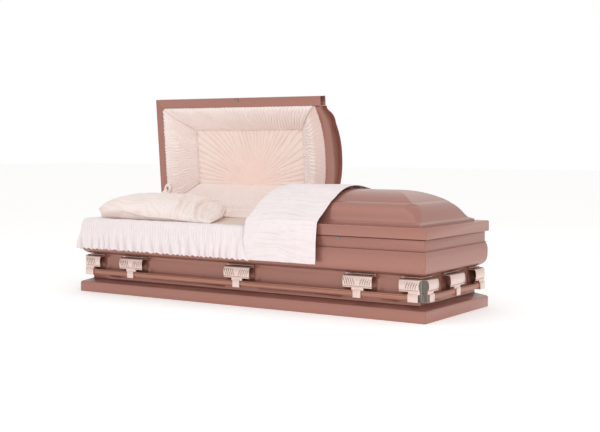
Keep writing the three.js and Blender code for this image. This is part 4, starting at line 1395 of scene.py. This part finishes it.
    def cut_section(self) -> list[tuple[float, float]]:
        """Gives the face of the roll beside the cut, whose outer edge is a plain band that laps the header.

        Returns:
            Inset and height of its points.
        """
        far = ROLL_NEAR + ROLL_END_WIDTH
        band = [(ROLL_NEAR + into, z) for into, z in self.cut_band]
        return [*band, (far - 3, PANEL_Z - 8), (far, PANEL_Z + 4)]

    def rear(self, width: float) -> list[tuple[float, float]]:
        """Gives the hidden back of a roll, as inset and height of its points."""
        return [(ROLL_NEAR, 408.0), (ROLL_NEAR + width / 2, 470.0), (ROLL_NEAR + width, PANEL_Z + 12)]

    def arch_height(self, y: np.ndarray) -> np.ndarray:
        """Gives the height of the header's arch at a place across the casket."""
        share = np.clip((HALF_WIDTH - np.abs(y) - self.arch_edge) / self.arch_width, 0, 1)
        return self.arch_low + self.arch_rise * (1 - (1 - share) ** self.arch_curve)

    def cut_height(self, along: np.ndarray, inset: np.ndarray, z: np.ndarray) -> np.ndarray:
        """Lifts the outer edge of the roll beside the cut to the arch.

        Args:
            along: Place across the casket in millimetres.
            inset: Millimetres in from the outline.
            z: Height of the section there.

        Returns:
            The lifted height.
        """
        share = np.clip((inset - ROLL_NEAR) / ROLL_END_WIDTH, 0, 1)
        foot = np.minimum(self.arch_height(along) + self.arch_lap, self.arch_limit)
        return np.where(z > PANEL_Z + 6, z, z + (foot - self.lip[0][1]) * (1 - share) ** 1.2)

    def press(self, roll: bpy.types.Object) -> None:
        """Gives a roll a mesh of its own. It is not made to give way where it meets the bed's rolls and
        flange as the lid closes.

        Args:
            roll: The roll.
        """
        panel, above = opened(np.array([[0.0, 0.0, PANEL_Z + 4.0], [0.0, 0.0, PANEL_Z + 5.0]]))
        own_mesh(roll)

    def corner_tie(self, roll: bpy.types.Object) -> None:
        """Joins the small looped tie of the lining, at the hinge corner of the head end, to its roll.

        Args:
            roll: The roll.
        """
        deselect_all()
        bpy.ops.mesh.primitive_torus_add(
            major_segments=28, minor_segments=12, major_radius=1.0, minor_radius=0.42,
        )
        loop = bpy.context.object
        loop.data.transform(Matrix.Rotation(math.pi / 2, 4, "X"))
        self.place_tie(loop, self.loop_at, self.loop_size, self.loop_tilt)
        deselect_all()
        bpy.ops.mesh.primitive_uv_sphere_add(segments=20, ring_count=12, radius=1.0)
        tail = bpy.context.object
        self.place_tie(tail, self.tail_at, self.tail_size, self.tail_tilt)
        join(roll, [loop, tail])

    def place_tie(self, part: bpy.types.Object, at: tuple[float, float, float],
                  size: tuple[float, float, float], tilt: float) -> None:
        """Sizes, tilts and places a part of the tie, and gives it its finish.

        Args:
            part: The part, of radius 1 round the origin.
            at: Its middle in millimetres.
            size: Its size along X, Y and Z before it is tilted.
            tilt: Degrees about Y.
        """
        turn = Matrix.Rotation(math.radians(tilt), 4, "Y")
        scale = Matrix.Diagonal((*(c * MM for c in size), 1))
        part.data.transform(Matrix.Translation(Vector(at) * MM) @ turn @ scale)
        mark_folds(part.data, np.ones(len(part.data.vertices)))
        part.data.materials.append(CREPE.material())
        smooth_by_angle(part, 80)

    def sunburst(self) -> None:
        """Builds the pleated panel: rays that spread from the middle of the hinge side."""
        middle_x = (PANEL_LOW_X + PANEL_HIGH_X) / 2
        half_x = (PANEL_HIGH_X - PANEL_LOW_X) / 2 + self.panel_lap
        half_y = PANEL_HALF + self.panel_lap
        centre_y = PANEL_HALF - 1.0
        sweep = math.radians(self.ray_sweep)
        angle = np.linspace(-sweep, sweep, self.ray_count * self.ray_steps)
        direction = np.stack([np.sin(angle), -np.cos(angle)], axis=1)
        reach_x = half_x / np.maximum(np.abs(direction[:, 0]), 1e-6)
        room_y = np.where(direction[:, 1] < 0, centre_y + half_y, half_y - centre_y)
        reach_y = room_y / np.maximum(np.abs(direction[:, 1]), 1e-6)
        reach = np.minimum(reach_x, reach_y)[:, None]
        ring = np.linspace(0, 1, self.ray_rings)[None, :] ** 1.25
        radius = self.ray_start + (reach - self.ray_start) * ring
        x = middle_x + direction[:, :1] * radius
        y = centre_y + direction[:, 1:] * radius
        vault = PANEL_VAULT * (1 - (y / PANEL_HALF) ** 2) * (1 - np.abs((x - middle_x) / half_x) ** 5)
        depth, fold = self.pleats(ring, radius)
        grid = opened(np.stack([x, y, PANEL_Z + vault - depth], axis=-1))
        panel = mesh_from_grid(
            "pleated_sunburst_panel", grid, flip=True, thickness=self.panel_backing, fold=fold,
        )
        settle(panel, SUNBURST, Body.HEAD_LID, ["sunburst_panel"])

    def pleats(self, ring: np.ndarray, radius: np.ndarray) -> tuple[np.ndarray, np.ndarray]:
        """Gives the pleats of the sunburst.

        Args:
            ring: Place along a ray, 0 to 1, one row.
            radius: Millimetres from where the rays meet.

        Returns:
            How far they stand out in millimetres, and how high each point lies in its fold, 0 to 1.
        """
        noise = SoftNoise(21)
        turns = np.linspace(0, self.ray_count, radius.shape[0])[:, None]
        drift = 0.35 * noise(turns / 2.5, ring * 2.2) + 0.18 * noise(turns * 1.3 + 5, ring * 3.5)
        ridge = np.abs(np.sin(np.pi * (turns + drift))) ** 0.55
        pitch = radius * math.radians(2 * self.ray_sweep) / self.ray_count
        wide = np.clip(pitch / self.ray_full, 0.12, 1.0)
        fade = 0.75 + 0.25 * noise(turns / 1.6, ring * 4 + 3)
        edge = np.clip((1 - ring) / 0.03, 0.15, 1)
        knot = self.knot_depth * np.exp(-((radius - self.ray_start) / self.knot_reach) ** 2)
        return self.ray_depth * ridge * wide * fade * edge + knot, ridge * fade


@dataclass
class BedLining:
    """Mattress, the rolls round the bed and the drape over the hinge side.

    drape_line holds Y and Z along the drape, from the bed's back roll to the lid's.
    """

    roll_near: float = 63.2
    roll_far: float = 109.2
    roll_bottom: float = 290.0
    mitre_gap: float = 0.6
    pad_round: float = 14.0
    pad_voxel: float = 9.0
    pad_sag: float = 1.2
    drape_line: tuple[tuple[float, float], ...] = (
        (254.0, 396.0), (262.0, 402.0), (282.0, 406.0), (297.0, 413.0), (309.0, 422.0), (321.0, 431.0),
        (336.0, 438.0), (352.0, 441.0), (366.0, 438.0),
    )
    drape_ends: tuple[float, float] = (-1005.0, 39.5)
    drape_step: float = 2.8
    drape_rows: int = 22
    drape_folds: Shirring = Shirring(16.0, 4.2, 51, wander=0.3)
    drape_full_fold: float = 3.6
    cloth: float = 1.2

    def build(self) -> None:
        """Builds the four rolls, the mattress and the drape."""
        near, far = self.roll_near, self.roll_far
        face = (
            (near + 3, 384.0), (near + 8, 390.0), (near + 22, 391.5), (far - 10, 386.0), (far - 1, 368.0),
            (far - 2, 330.0), (far - 6, self.roll_bottom),
        )
        rear = ((near, 375.0), (near, self.roll_bottom))
        for name, side, half, seed in (
            ("front", Side.FRONT, HALF_LENGTH, 31), ("back", Side.BACK, HALF_LENGTH, 32),
            ("head", Side.HEAD, HALF_WIDTH, 33), ("foot", Side.FOOT, HALF_WIDTH, 34),
        ):
            RollPiece(
                f"shirred_bed_roll_{name}", side, f"body_lining_{name}", face, rear,
                lambda inset, half=half: self.mitre_gap + inset - half,
                lambda inset, half=half: half - inset - self.mitre_gap,
                Shirring(12.0, 2.2, seed), Body.CASKET, step=4.0, across=16,
            ).build()
        self.mattress()
        self.drape()

    def mattress(self) -> None:
        """Builds the mattress: a soft rounded block with a little sag."""
        low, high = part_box("mattress")
        deselect_all()
        bpy.ops.mesh.primitive_cube_add(size=1)
        pad = bpy.context.object
        pad.name = "ticking_mattress"
        pad.data.transform(Matrix.Translation((low + high) / 2) @ Matrix.Diagonal((*(high - low), 1)))
        with editing(pad):
            bpy.ops.mesh.bevel(offset=self.pad_round * MM, segments=4, affect="EDGES")
            bpy.ops.mesh.subdivide(number_cuts=1)
        remesh(pad, self.pad_voxel)
        co = np.array([v.co for v in pad.data.vertices]) / MM
        noise = SoftNoise(41)
        top = np.clip((co[:, 2] - MATTRESS_TOP) / 20 + 1, 0, 1)
        co[:, 2] -= top * self.pad_sag * (1 - noise(co[:, 0] / 90, co[:, 1] / 70))
        side = np.clip((np.abs(co[:, 1]) - 220) / 17, 0, 1)
        co[:, 1] -= np.sign(co[:, 1]) * side * self.pad_sag * (1 + noise(co[:, 0] / 40, co[:, 2] / 40))
        pad.data.vertices.foreach_set("co", (co * MM).ravel())
        smooth_by_angle(pad, 60)
        settle(pad, TICKING, Body.CASKET, ["mattress"])

    def drape(self) -> None:
        """Builds the gathered cloth from the bed's back roll up to the lid's hinge side roll."""
        line = through(self.drape_line, self.drape_rows)
        low, high = self.drape_ends
        x = np.linspace(low, high, int((high - low) / self.drape_step))[:, None]
        grid = np.stack(np.broadcast_arrays(x, line[None, :, 0], line[None, :, 1]), axis=-1)
        normal = grid_normals(grid)
        out = 1.0 if normal[0, self.drape_rows // 2, 2] > 0 else -1.0
        folds = self.drape_folds(x, np.linspace(0, 1, self.drape_rows)[None, :])
        grid = grid + normal * out * folds[..., None]
        cloth = mesh_from_grid(
            "hinge_side_drape", grid, flip=out < 0, thickness=self.cloth, fold=folds / self.drape_full_fold,
        )
        cloth.data.materials.append(CREPE.material())
        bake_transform(cloth)
        LOG.info("%s: %d faces", cloth.name, len(cloth.data.polygons))


@dataclass
class Pillow:
    """The shirred pillow at the head end, settled by a short cloth simulation and then gathered.

    ridge and seam hold X and height of the top's ridge and of the welt. Each crease holds Y and X along it.
    """

    ridge: tuple[tuple[float, float], ...] = (
        (-1012.0, 455.0), (-1003.0, 488.0), (-985.0, 508.0), (-955.0, 519.0), (-900.0, 526.0),
        (-800.0, 530.0), (-700.0, 527.0), (-600.0, 518.0), (-522.0, 501.0), (-430.0, 462.0),
        (-345.0, 426.0), (-290.0, 420.0), (-235.0, 412.0),
    )
    seam: tuple[tuple[float, float], ...] = (
        (-1012.0, 450.0), (-985.0, 460.0), (-835.0, 437.0), (-727.0, 416.0), (-640.0, 406.0),
        (-235.0, 405.0),
    )
    creases: tuple[tuple[tuple[float, float], ...], ...] = (
        (
            (-250.0, -468.0), (-180.0, -500.0), (-100.0, -545.0), (0.0, -590.0), (120.0, -615.0),
            (260.0, -620.0),
        ),
        (
            (-250.0, -335.0), (-190.0, -375.0), (-100.0, -440.0), (0.0, -482.0), (120.0, -500.0),
            (260.0, -505.0),
        ),
    )
    crease_depth: float = 13.0
    crease_reach: float = 9.0
    crease_lip: float = 7.0
    lip_away: float = 24.0
    lip_reach: float = 15.0
    half_width: float = 263.0
    head_x: float = -1004.0
    head_bow: float = 8.0
    foot_x: float = -348.0
    foot_slant: float = 144.0
    foot_bow: float = 26.0
    waist: float = 0.035
    middle: float = -620.0
    tuck: float = 0.03
    lean: float = 0.15
    fullness: float = 2.6
    grid: int = 72
    voxel: float = 6.5
    pressure: float = 2.0
    frames: int = 16
    cap: float = 7.0
    arc_x: float = -840.0
    arc_y: float = -560.0
    arcs: Shirring = Shirring(24.0, 4.4, 62, wander=0.5, edge_share=0.0)
    across: Shirring = Shirring(27.0, 4.4, 63, wander=0.6, edge_share=0.0)
    welt_radius: float = 3.4
    welt_facets: int = 8
    welt_steps: int = 90
    welt_in: float = 0.992

    def build(self) -> None:
        """Builds the pillow."""
        obj = self.start_shape()
        self.settle_cover(obj)
        self.gather(obj)
        join(obj, [self.welt()])
        settle(obj, CREPE, Body.CASKET, ["pillow"])
        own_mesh(obj)

    def outline(self, share: np.ndarray, v: np.ndarray) -> tuple[np.ndarray, np.ndarray]:
        """Gives the plan of the pillow.

        Args:
            share: Place from the head to the foot end, 0 to 1.
            v: Place across, -1 at the front to 1 at the back.

        Returns:
            X and Y in millimetres.
        """
        head = self.head_x - self.head_bow * np.abs(v) ** 3
        foot = self.foot_x - self.foot_slant * v - self.foot_bow * v * v
        x = head + (foot - head) * share
        y = v * self.half_width * (1 - self.waist * np.sin(np.pi * np.clip(share, 0, 1)))
        return x, y

    def top(self, share: np.ndarray, v: np.ndarray) -> np.ndarray:
        """Gives the height of the top before it is gathered.

        Args:
            share: Place from the head to the foot end, 0 to 1.
            v: Place across, -1 at the front to 1 at the back.

        Returns:
            The height in millimetres.
        """
        x, _ = self.outline(share, v)
        ridge, seam = np.array(self.ridge), np.array(self.seam)
        off = v - self.lean
        from_ridge = np.where(off > 0, off / (1 - self.lean), off / (1 + self.lean))
        full = np.sqrt(np.clip(1 - np.abs(from_ridge) ** self.fullness, 0, 1))
        low = np.interp(x, seam[:, 0], seam[:, 1])
        return low + (np.interp(x, ridge[:, 0], ridge[:, 1]) - low) * full

    def start_shape(self) -> bpy.types.Object:
        """Makes the cover that the simulation settles.

        Returns:
            The cover, closed and tucked in below.
        """
        spread = -np.cos(np.linspace(0, np.pi, self.grid))
        share, v = np.meshgrid((1 + spread) / 2, spread, indexing="ij")
        x, y = self.outline(share, v)
        upper = np.stack([x, y, self.top(share, v) + 2.0], axis=-1)
        bottom = np.full_like(x, MATTRESS_TOP + 2.0)
        lower = np.stack([x + (self.middle - x) * self.tuck, y * (1 - self.tuck), bottom], axis=-1)
        index = np.arange(self.grid**2).reshape(self.grid, self.grid)
        below = self.grid**2
        quads = grid_quads(index)
        faces = quads.tolist() + (quads[:, ::-1] + below).tolist()
        rim = [*index[0, :], *index[1:, -1], *index[-1, -2::-1], *index[-2:0:-1, 0]]
        for a, b in zip(rim, rim[1:] + rim[:1]):
            faces.append([int(a), int(b), int(b) + below, int(a) + below])
        mesh = bpy.data.meshes.new("lining_pillow")
        whole = np.concatenate([upper.reshape(-1, 3), lower.reshape(-1, 3)])
        mesh.from_pydata((whole * MM).tolist(), [], faces)
        obj = bpy.data.objects.new("lining_pillow", mesh)
        bpy.context.collection.objects.link(obj)
        return obj

    def settle_cover(self, obj: bpy.types.Object) -> None:
        """Settles the cover with a short cloth simulation and keeps each point within the cap.

        Args:
            obj: The cover.
        """
        remesh(obj, self.voxel)
        before = np.array([v.co for v in obj.data.vertices])
        cloth = obj.modifiers.new("cover", "CLOTH")
        cloth.settings.use_pressure = True
        cloth.settings.uniform_pressure_force = self.pressure
        cloth.settings.effector_weights.gravity = 0.0
        scene = bpy.context.scene
        scene.frame_start, scene.frame_end = 1, self.frames
        cloth.point_cache.frame_start, cloth.point_cache.frame_end = 1, self.frames
        for frame in range(1, self.frames + 1):
            scene.frame_set(frame)
        apply_modifiers(obj)
        scene.frame_set(1)
        after = np.array([v.co for v in obj.data.vertices])
        move = after - before
        size = np.linalg.norm(move, axis=1, keepdims=True)
        move *= np.minimum(1, self.cap * MM / np.maximum(size, 1e-9))
        obj.data.vertices.foreach_set("co", (before + move).ravel())

    def gather(self, obj: bpy.types.Object) -> None:
        """Gathers the top: arcs round the front corner at the head, folds across at the foot, two creases.

        Args:
            obj: The settled cover.
        """
        split = obj.modifiers.new("fine", "SUBSURF")
        split.levels = split.render_levels = 1
        apply_modifiers(obj)
        count = len(obj.data.vertices)
        co, normal = np.zeros(count * 3), np.zeros(count * 3)
        obj.data.vertices.foreach_get("co", co)
        obj.data.vertices.foreach_get("normal", normal)
        co, normal = co.reshape(-1, 3) / MM, normal.reshape(-1, 3)
        x, y = co[:, 0], co[:, 1]
        noise = SoftNoise(61)
        folds = self.folds(x, y, noise)
        lift = folds + 5 * noise(x / 90 + 3, y / 100) - self.crease(x, y)
        facing = np.clip(normal[:, 2] * 1.4 + 0.75, 0, 1)
        top = facing * np.clip((co[:, 2] - MATTRESS_TOP - 4) / 14, 0, 1)
        co += normal * (lift * top)[:, None]
        co[:, 2] = np.maximum(co[:, 2], MATTRESS_TOP + 1.5)
        obj.data.vertices.foreach_set("co", (co * MM).ravel())
        mark_folds(obj.data, np.where(top > 0.1, 0.3 + folds / 5.0, 0.7))
        obj.data.update()
        smooth_by_angle(obj, 80)

    def folds(self, x: np.ndarray, y: np.ndarray, noise: SoftNoise) -> np.ndarray:
        """Gives the height of the folds.

        Args:
            x: X in millimetres.
            y: Y in millimetres.
            noise: The pillow's noise.

        Returns:
            The height in millimetres.
        """
        sway = 16 * noise(x / 120, y / 95) + 7 * noise(x / 45 + 3, y / 38)
        seamless = np.full_like(x, 0.5)
        reach = np.hypot((x - self.arc_x) * 0.8, y - self.arc_y) + sway
        arcs = self.arcs(reach, seamless)
        across = self.across(x + 0.35 * y + sway, seamless)
        part = np.clip((x + 600) / 70, 0, 1)
        return (arcs * (1 - part) + across * part) * (0.62 + 0.5 * noise(x / 110 + 8, y / 60 + 5))

    def crease(self, x: np.ndarray, y: np.ndarray) -> np.ndarray:
        """Gives how deep the two creases lie, less than nothing on the lips beside them.

        Args:
            x: X in millimetres.
            y: Y in millimetres.

        Returns:
            The depth in millimetres.
        """
        depth = np.zeros_like(x)
        for line in self.creases:
            points = np.array(line)
            away = x - np.interp(y, points[:, 0], points[:, 1])
            depth += self.crease_depth * np.exp(-((away / self.crease_reach) ** 2))
            for side in (-self.lip_away, self.lip_away):
                depth -= self.crease_lip * np.exp(-(((away + side) / self.lip_reach) ** 2))
        return depth

    def welt(self) -> bpy.types.Object:
        """Makes the corded seam round the pillow.

        Returns:
            The cord.
        """
        run = np.linspace(0, 1, self.welt_steps)[:-1]
        ones, zeros = np.ones_like(run), np.zeros_like(run)
        share = np.concatenate([run, ones, 1 - run, zeros]) * self.welt_in + (1 - self.welt_in) / 2
        v = np.concatenate([-ones, 2 * run - 1, ones, 1 - 2 * run]) * self.welt_in
        x, y = self.outline(share, v)
        path = np.stack([x, y, self.top(share, v) + 0.5], axis=1)
        ahead = np.roll(path, -1, axis=0) - np.roll(path, 1, axis=0)
        ahead /= np.linalg.norm(ahead, axis=1, keepdims=True)
        side = np.cross(ahead, [0, 0, 1.0])
        up = np.cross(side, ahead)
        turn = around(self.welt_facets)[None, :, None]
        ring = self.welt_radius * (side[:, None] * np.cos(turn) + up[:, None] * np.sin(turn))
        grid = path[:, None] + ring
        closed = np.concatenate([grid, grid[:1]], axis=0)
        cord = mesh_from_grid("pillow_welt", closed, ring=True, fold=np.ones(closed.shape[:2]))
        face_out(cord, MERGE)
        return cord


@dataclass
class Skirt:
    """The gathered cloth that hangs over the front and the head end.

    line holds inset and height from the bed down to the hem.
    """

    line: tuple[tuple[float, float], ...] = (
        (76.0, 396.0), (66.0, 400.0), (49.0, 402.5), (30.0, 403.5), (14.0, 395.0), (6.0, 370.0),
        (0.0, 330.0), (-14.0, 284.0), (-21.0, 262.0), (-22.5, 246.0),
    )
    start_x: float = 92.0
    end_y: float = 255.0
    corner_room: float = 40.0
    bend_share: float = 0.024
    step: float = 3.0
    down: int = 46
    cloth: float = 1.4
    big_pitch: float = 56.0
    big_swell: float = 6.6
    small_pitch: float = 31.0
    small_swell: float = 2.2
    middle_folds: Shirring = Shirring(24.0, 4.2, 72, wander=0.7, edge_share=0.0)
    upper_folds: Shirring = Shirring(17.0, 4.6, 73, wander=0.3, edge_share=0.2)

    def build(self) -> None:
        """Drapes and gathers the skirt."""
        line = through(self.line, self.down)
        length = HALF_LENGTH + self.start_x + HALF_WIDTH + self.end_y
        share = np.linspace(0, 1, int(length / self.step))[:, None]
        t = np.linspace(0, 1, self.down)[None, :]
        height, drop, fold = self.folds(share, share * length, t)
        x, y = self.path(line[None, :, 0], share)
        grid = np.stack([x, y, line[None, :, 1] + drop], axis=-1)
        normal = grid_normals(grid)
        out = -1.0 if normal[10, self.down // 2, 1] > 0 else 1.0
        grid = grid + normal * out * height[..., None]
        cloth = mesh_from_grid("gathered_skirt", grid, flip=out < 0, thickness=self.cloth, fold=fold)
        settle(cloth, PUFF, Body.CASKET, ["skirt"])
        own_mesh(cloth)

    def path(self, inset: np.ndarray, share: np.ndarray) -> tuple[np.ndarray, np.ndarray]:
        """Gives the plan of the skirt at an inset.

        Args:
            inset: Millimetres in from the outline, one row.
            share: Place along the skirt, 0 at the cut to 1 at its end on the head side, one column.

        Returns:
            X and Y in millimetres.
        """
        radius = np.clip((13 - inset) * 1.2, 6, 40)
        side, end = HALF_WIDTH - inset, HALF_LENGTH - inset
        whole = HALF_LENGTH + self.start_x + self.corner_room + HALF_WIDTH + self.end_y
        corner = (HALF_LENGTH + self.start_x) / whole
        bent = corner + self.bend_share
        bend = np.clip((share - corner) / (bent - corner), 0, 1) * math.pi / 2
        past = np.clip((share - bent) / (1 - bent), 0, 1)
        front = self.start_x - (self.start_x + end - radius) * np.minimum(share / corner, 1)
        x = np.where(share < corner, front, -(end - radius) - radius * np.sin(bend))
        y = np.where(share < corner, -side, -(side - radius) - radius * np.cos(bend))
        y = np.where(share >= bent, -(side - radius) + (side - radius + self.end_y) * past, y)
        return x, y

    def folds(self, share: np.ndarray, along: np.ndarray,
              t: np.ndarray) -> tuple[np.ndarray, np.ndarray, np.ndarray]:
        """Gives the gathers: fine ones at the top, and wide ones that lean below.

        Args:
            share: Place along the skirt, 0 to 1, one column.
            along: The same in millimetres.
            t: Place from the top to the hem, 0 to 1, one row.

        Returns:
            How far the cloth stands out, how far the hem rises, and how high it lies in its fold, 0 to 1.
        """
        noise = SoftNoise(71)
        lower = np.clip((t - 0.42) / 0.5, 0, 1) ** 1.3
        leaning = along + 34 * np.clip((t - 0.38) / 0.62, 0, 1) ** 1.4
        drift = 0.5 * noise(along / 130, t * 1.2) + 0.25 * noise(along / 45, t * 2.1 + 4)
        big = np.cos(2 * np.pi * (leaning / self.big_pitch + drift))
        small = np.cos(2 * np.pi * (leaning / self.small_pitch + 1.3 * drift + 0.3))
        middle = self.middle_folds(leaning, np.full_like(leaning, 0.5))
        upper = self.upper_folds(along, t)
        swell = self.big_swell * big * (0.8 + 0.4 * noise(along / 60, t)) + self.small_swell * small + 3.0
        upper_part = upper + 0.5 * middle * np.clip(t / 0.3, 0, 1)
        height = lower * (swell + 0.55 * middle) + (1 - lower) * upper_part
        hem = np.clip((t - 0.8) / 0.2, 0, 1)
        rise = hem * (3.4 * small + 1.6 * big - 6.0 * (1 - share) + 2.5 * noise(along / 150, 0 * t))
        fold = (1 - lower) * (0.15 + upper / 4.8) + lower * (0.55 + 0.42 * big)
        return height, rise, fold


@dataclass
class Throw:
    """The puffed cloth that lies over the cut of the foot lid and hangs down the front.

    line holds inset and height from the ridge's far side down to the hem. bulge holds places along it and
    how far the edge at the cut bulges there.
    """

    start_x: float = 97.0
    end_x: float = 489.0
    down: int = 250
    across: int = 96
    cloth: float = 2.0
    line: tuple[tuple[float, float], ...] = (
        (594.0, 566.0), (560.0, 571.5), (500.0, 584.0), (430.0, 596.0), (350.0, 602.0), (270.0, 595.0),
        (200.0, 573.0), (158.0, 552.0), (118.0, 531.0), (79.0, 502.0), (32.0, 468.0), (5.0, 450.0),
        (-9.0, 430.0), (-14.0, 370.0), (-18.0, 300.0), (-20.0, 242.0),
    )
    bulge: tuple[tuple[float, float], ...] = (
        (0.0, 0.0), (0.45, 14.0), (0.62, 34.0), (0.75, 34.0), (0.9, 40.0), (1.0, 26.0),
    )
    big_folds: Shirring = Shirring(29.0, 6.4, 82, wander=0.8, edge_share=0.25)
    small_folds: Shirring = Shirring(15.0, 2.0, 83, wander=1.1, edge_share=0.3)
    edge_share: float = 0.03
    edge_roll: float = 6.5

    def build(self) -> None:
        """Drapes and gathers the throw."""
        line = through(self.line, self.down)
        run = np.concatenate([[0], np.cumsum(np.linalg.norm(np.diff(line, axis=0), axis=1))])
        t = np.linspace(0, 1, self.across)[:, None]
        s = run[None, :]
        where = s / run[-1]
        noise = SoftNoise(81)
        bulge = np.interp(where, *np.array(self.bulge).T) * (1 - t) ** 2
        edge_wave = 3 * noise(s / 60, 0 * t) * (1 - t) + 2.5 * noise(s / 75 + 8, 0 * t) * t
        x = self.start_x + (self.end_x - self.start_x) * t - bulge + edge_wave
        inset, z = (np.broadcast_to(line[None, :, k], x.shape) for k in (0, 1))
        grid = np.stack([x, inset - HALF_WIDTH, z], axis=-1)
        normal = grid_normals(grid)
        out = 1.0 if normal[self.across // 2, self.down // 4, 2] > 0 else -1.0
        folds = self.folds(x, s, t, where)
        puff = 10 * np.sin(np.pi * t) ** 0.5 + 3 * noise(x / 120 + 2, s / 110)
        rim = self.edge_roll * np.exp(-((1 - t) / self.edge_share) ** 2)
        seam = np.clip(np.minimum(t, 1 - t) / self.edge_share, 0.4, 1)
        grid = grid + normal * out * (folds * seam + puff * 0.6 + rim)[..., None]
        cloth = mesh_from_grid(
            "puffed_throw", grid, flip=out < 0, thickness=self.cloth, fold=0.24 + folds / 8.0,
        )
        settle(cloth, PUFF, Body.FOOT_LID, ["throw"])

    def folds(self, x: np.ndarray, s: np.ndarray, t: np.ndarray, where: np.ndarray) -> np.ndarray:
        """Gives the height of the folds, which run across the cloth and sag where it hangs.

        Args:
            x: X in millimetres.
            s: Millimetres down the cloth, one row.
            t: Place from the edge at the cut to the other, 0 to 1, one column.
            where: Place down the cloth, 0 to 1, one row.

        Returns:
            The height in millimetres.
        """
        noise = SoftNoise(81)
        hanging = np.clip((where - 0.62) / 0.3, 0, 1) ** 2
        middle = 30 * np.exp(-(((t - 0.36) / 0.24) ** 2))
        arch = hanging * (middle - 46 * np.clip((t - 0.45) / 0.55, 0, 1))
        wavy = s + arch + 20 * noise(x / 170, s / 110) + 9 * noise(x / 70 + 4, s / 45) + 22 * t
        strength = 0.7 + 0.65 * noise(x / 85 + 6, s / 48)
        return strength * self.big_folds(wavy, t) + self.small_folds(wavy + 9, t)


# Studio
@dataclass(frozen=True)
class Lamp:
    """An area light. Place and size are metres, energy is watts."""

    name: str
    place: tuple[float, float, float]
    energy: float
    size: float


@dataclass
class Studio:
    """Pale floor, soft lights and the camera at the photograph's angle. Places and sizes are metres.

    eye, yaw, pitch, roll and focal_px are those of the camera fitted to the photograph, which is frame_px
    wide. sensor is the camera's sensor in millimetres.
    """

    eye: tuple[float, float, float] = (3.36776, -4.94697, 0.81929)
    yaw: float = 0.5754351
    pitch: float = 0.0636922
    roll: float = 0.0021166
    focal_px: float = 1133.32
    frame_px: float = 600.0
    sensor: float = 36.0
    lamps: tuple[Lamp, ...] = (
        Lamp("key", (2.9, -2.7, 2.1), 29.0, 1.6),
        Lamp("fill", (0.9, -5.4, 2.2), 12.0, 2.4),
        Lamp("top", (-0.6, -1.6, 4.4), 12.0, 3.0),
        Lamp("rim", (-1.5, 4.5, 3.2), 4.0, 3.0),
    )
    aim: tuple[float, float, float] = (0.0, 0.0, 0.35)
    sky: float = 0.8
    floor_size: float = 60.0
    floor_colour: str = "FAF9F8"
    floor_glow: float = 0.21

    def build(self) -> None:
        """Makes the floor, the camera, the lights and the sky."""
        self.floor()
        self.camera()
        for lamp in self.lamps:
            light = bpy.data.lights.new(lamp.name, "AREA")
            light.energy, light.size = lamp.energy, lamp.size
            obj = bpy.data.objects.new(lamp.name, light)
            bpy.context.collection.objects.link(obj)
            obj.location = lamp.place
            aim = Vector(self.aim) - Vector(lamp.place)
            obj.rotation_euler = aim.to_track_quat("-Z", "Y").to_euler()
        self.surroundings()

    def surroundings(self) -> None:
        """Makes the sky, white behind the casket and a little dimmer in what it lights."""
        world = bpy.data.worlds.new("studio")
        world.use_nodes = True
        back = world.node_tree.nodes["Background"]
        back.inputs["Color"].default_value = (1.0, 1.0, 1.0, 1.0)
        seen = add_node(world.node_tree, "ShaderNodeLightPath").outputs["Is Camera Ray"]
        strength = add_node(world.node_tree, "ShaderNodeMapRange", {
            "Value": seen, "To Min": self.sky, "To Max": 1.0,
        })
        world.node_tree.links.new(strength.outputs["Result"], back.inputs["Strength"])
        bpy.context.scene.world = world
        bpy.context.scene.view_settings.view_transform = "Standard"

    def floor(self) -> None:
        """Lays the pale floor."""
        deselect_all()
        bpy.ops.mesh.primitive_plane_add(size=self.floor_size)
        floor = bpy.context.object
        floor.name = "studio_floor"
        paper = bpy.data.materials.new("seamless_paper")
        paper.use_nodes = True
        shader = paper.node_tree.nodes["Principled BSDF"]
        shader.inputs["Base Color"].default_value = linear(self.floor_colour)
        shader.inputs["Roughness"].default_value = 0.9
        shader.inputs["Emission Color"].default_value = linear("FFFFFF")
        shader.inputs["Emission Strength"].default_value = self.floor_glow
        floor.data.materials.append(paper)

    def camera(self) -> None:
        """Sets the camera where the photograph was taken from."""
        level = math.cos(self.pitch)
        ahead = Vector((-math.sin(self.yaw) * level, math.cos(self.yaw) * level, -math.sin(self.pitch)))
        right = Vector((math.cos(self.yaw), math.sin(self.yaw), 0))
        up = right.cross(ahead)
        rolled_right = right * math.cos(self.roll) + up * math.sin(self.roll)
        rolled_up = up * math.cos(self.roll) - right * math.sin(self.roll)
        data = bpy.data.cameras.new("view")
        data.sensor_fit = "HORIZONTAL"
        data.sensor_width = self.sensor
        data.lens = self.focal_px / self.frame_px * self.sensor
        data.clip_end = 100
        camera = bpy.data.objects.new("view", data)
        bpy.context.collection.objects.link(camera)
        axes = Matrix((rolled_right, rolled_up, -ahead)).transposed().to_4x4()
        camera.matrix_world = Matrix.Translation(Vector(self.eye)) @ axes
        bpy.context.scene.camera = camera


def main() -> None:
    """Loads the frame and builds the studio and every sub-assembly."""
    logging.basicConfig(level=logging.INFO, format="%(name)s: %(message)s")
    FRAME.update(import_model())
    Studio().build()
    for assembly in (SteelShell(), Hardware(), LidLining(), BedLining(), Pillow(), Skirt(), Throw()):
        LOG.info("building %s", type(assembly).__name__)
        assembly.build()
    deselect_all()


if __name__ == "__main__":
    main()
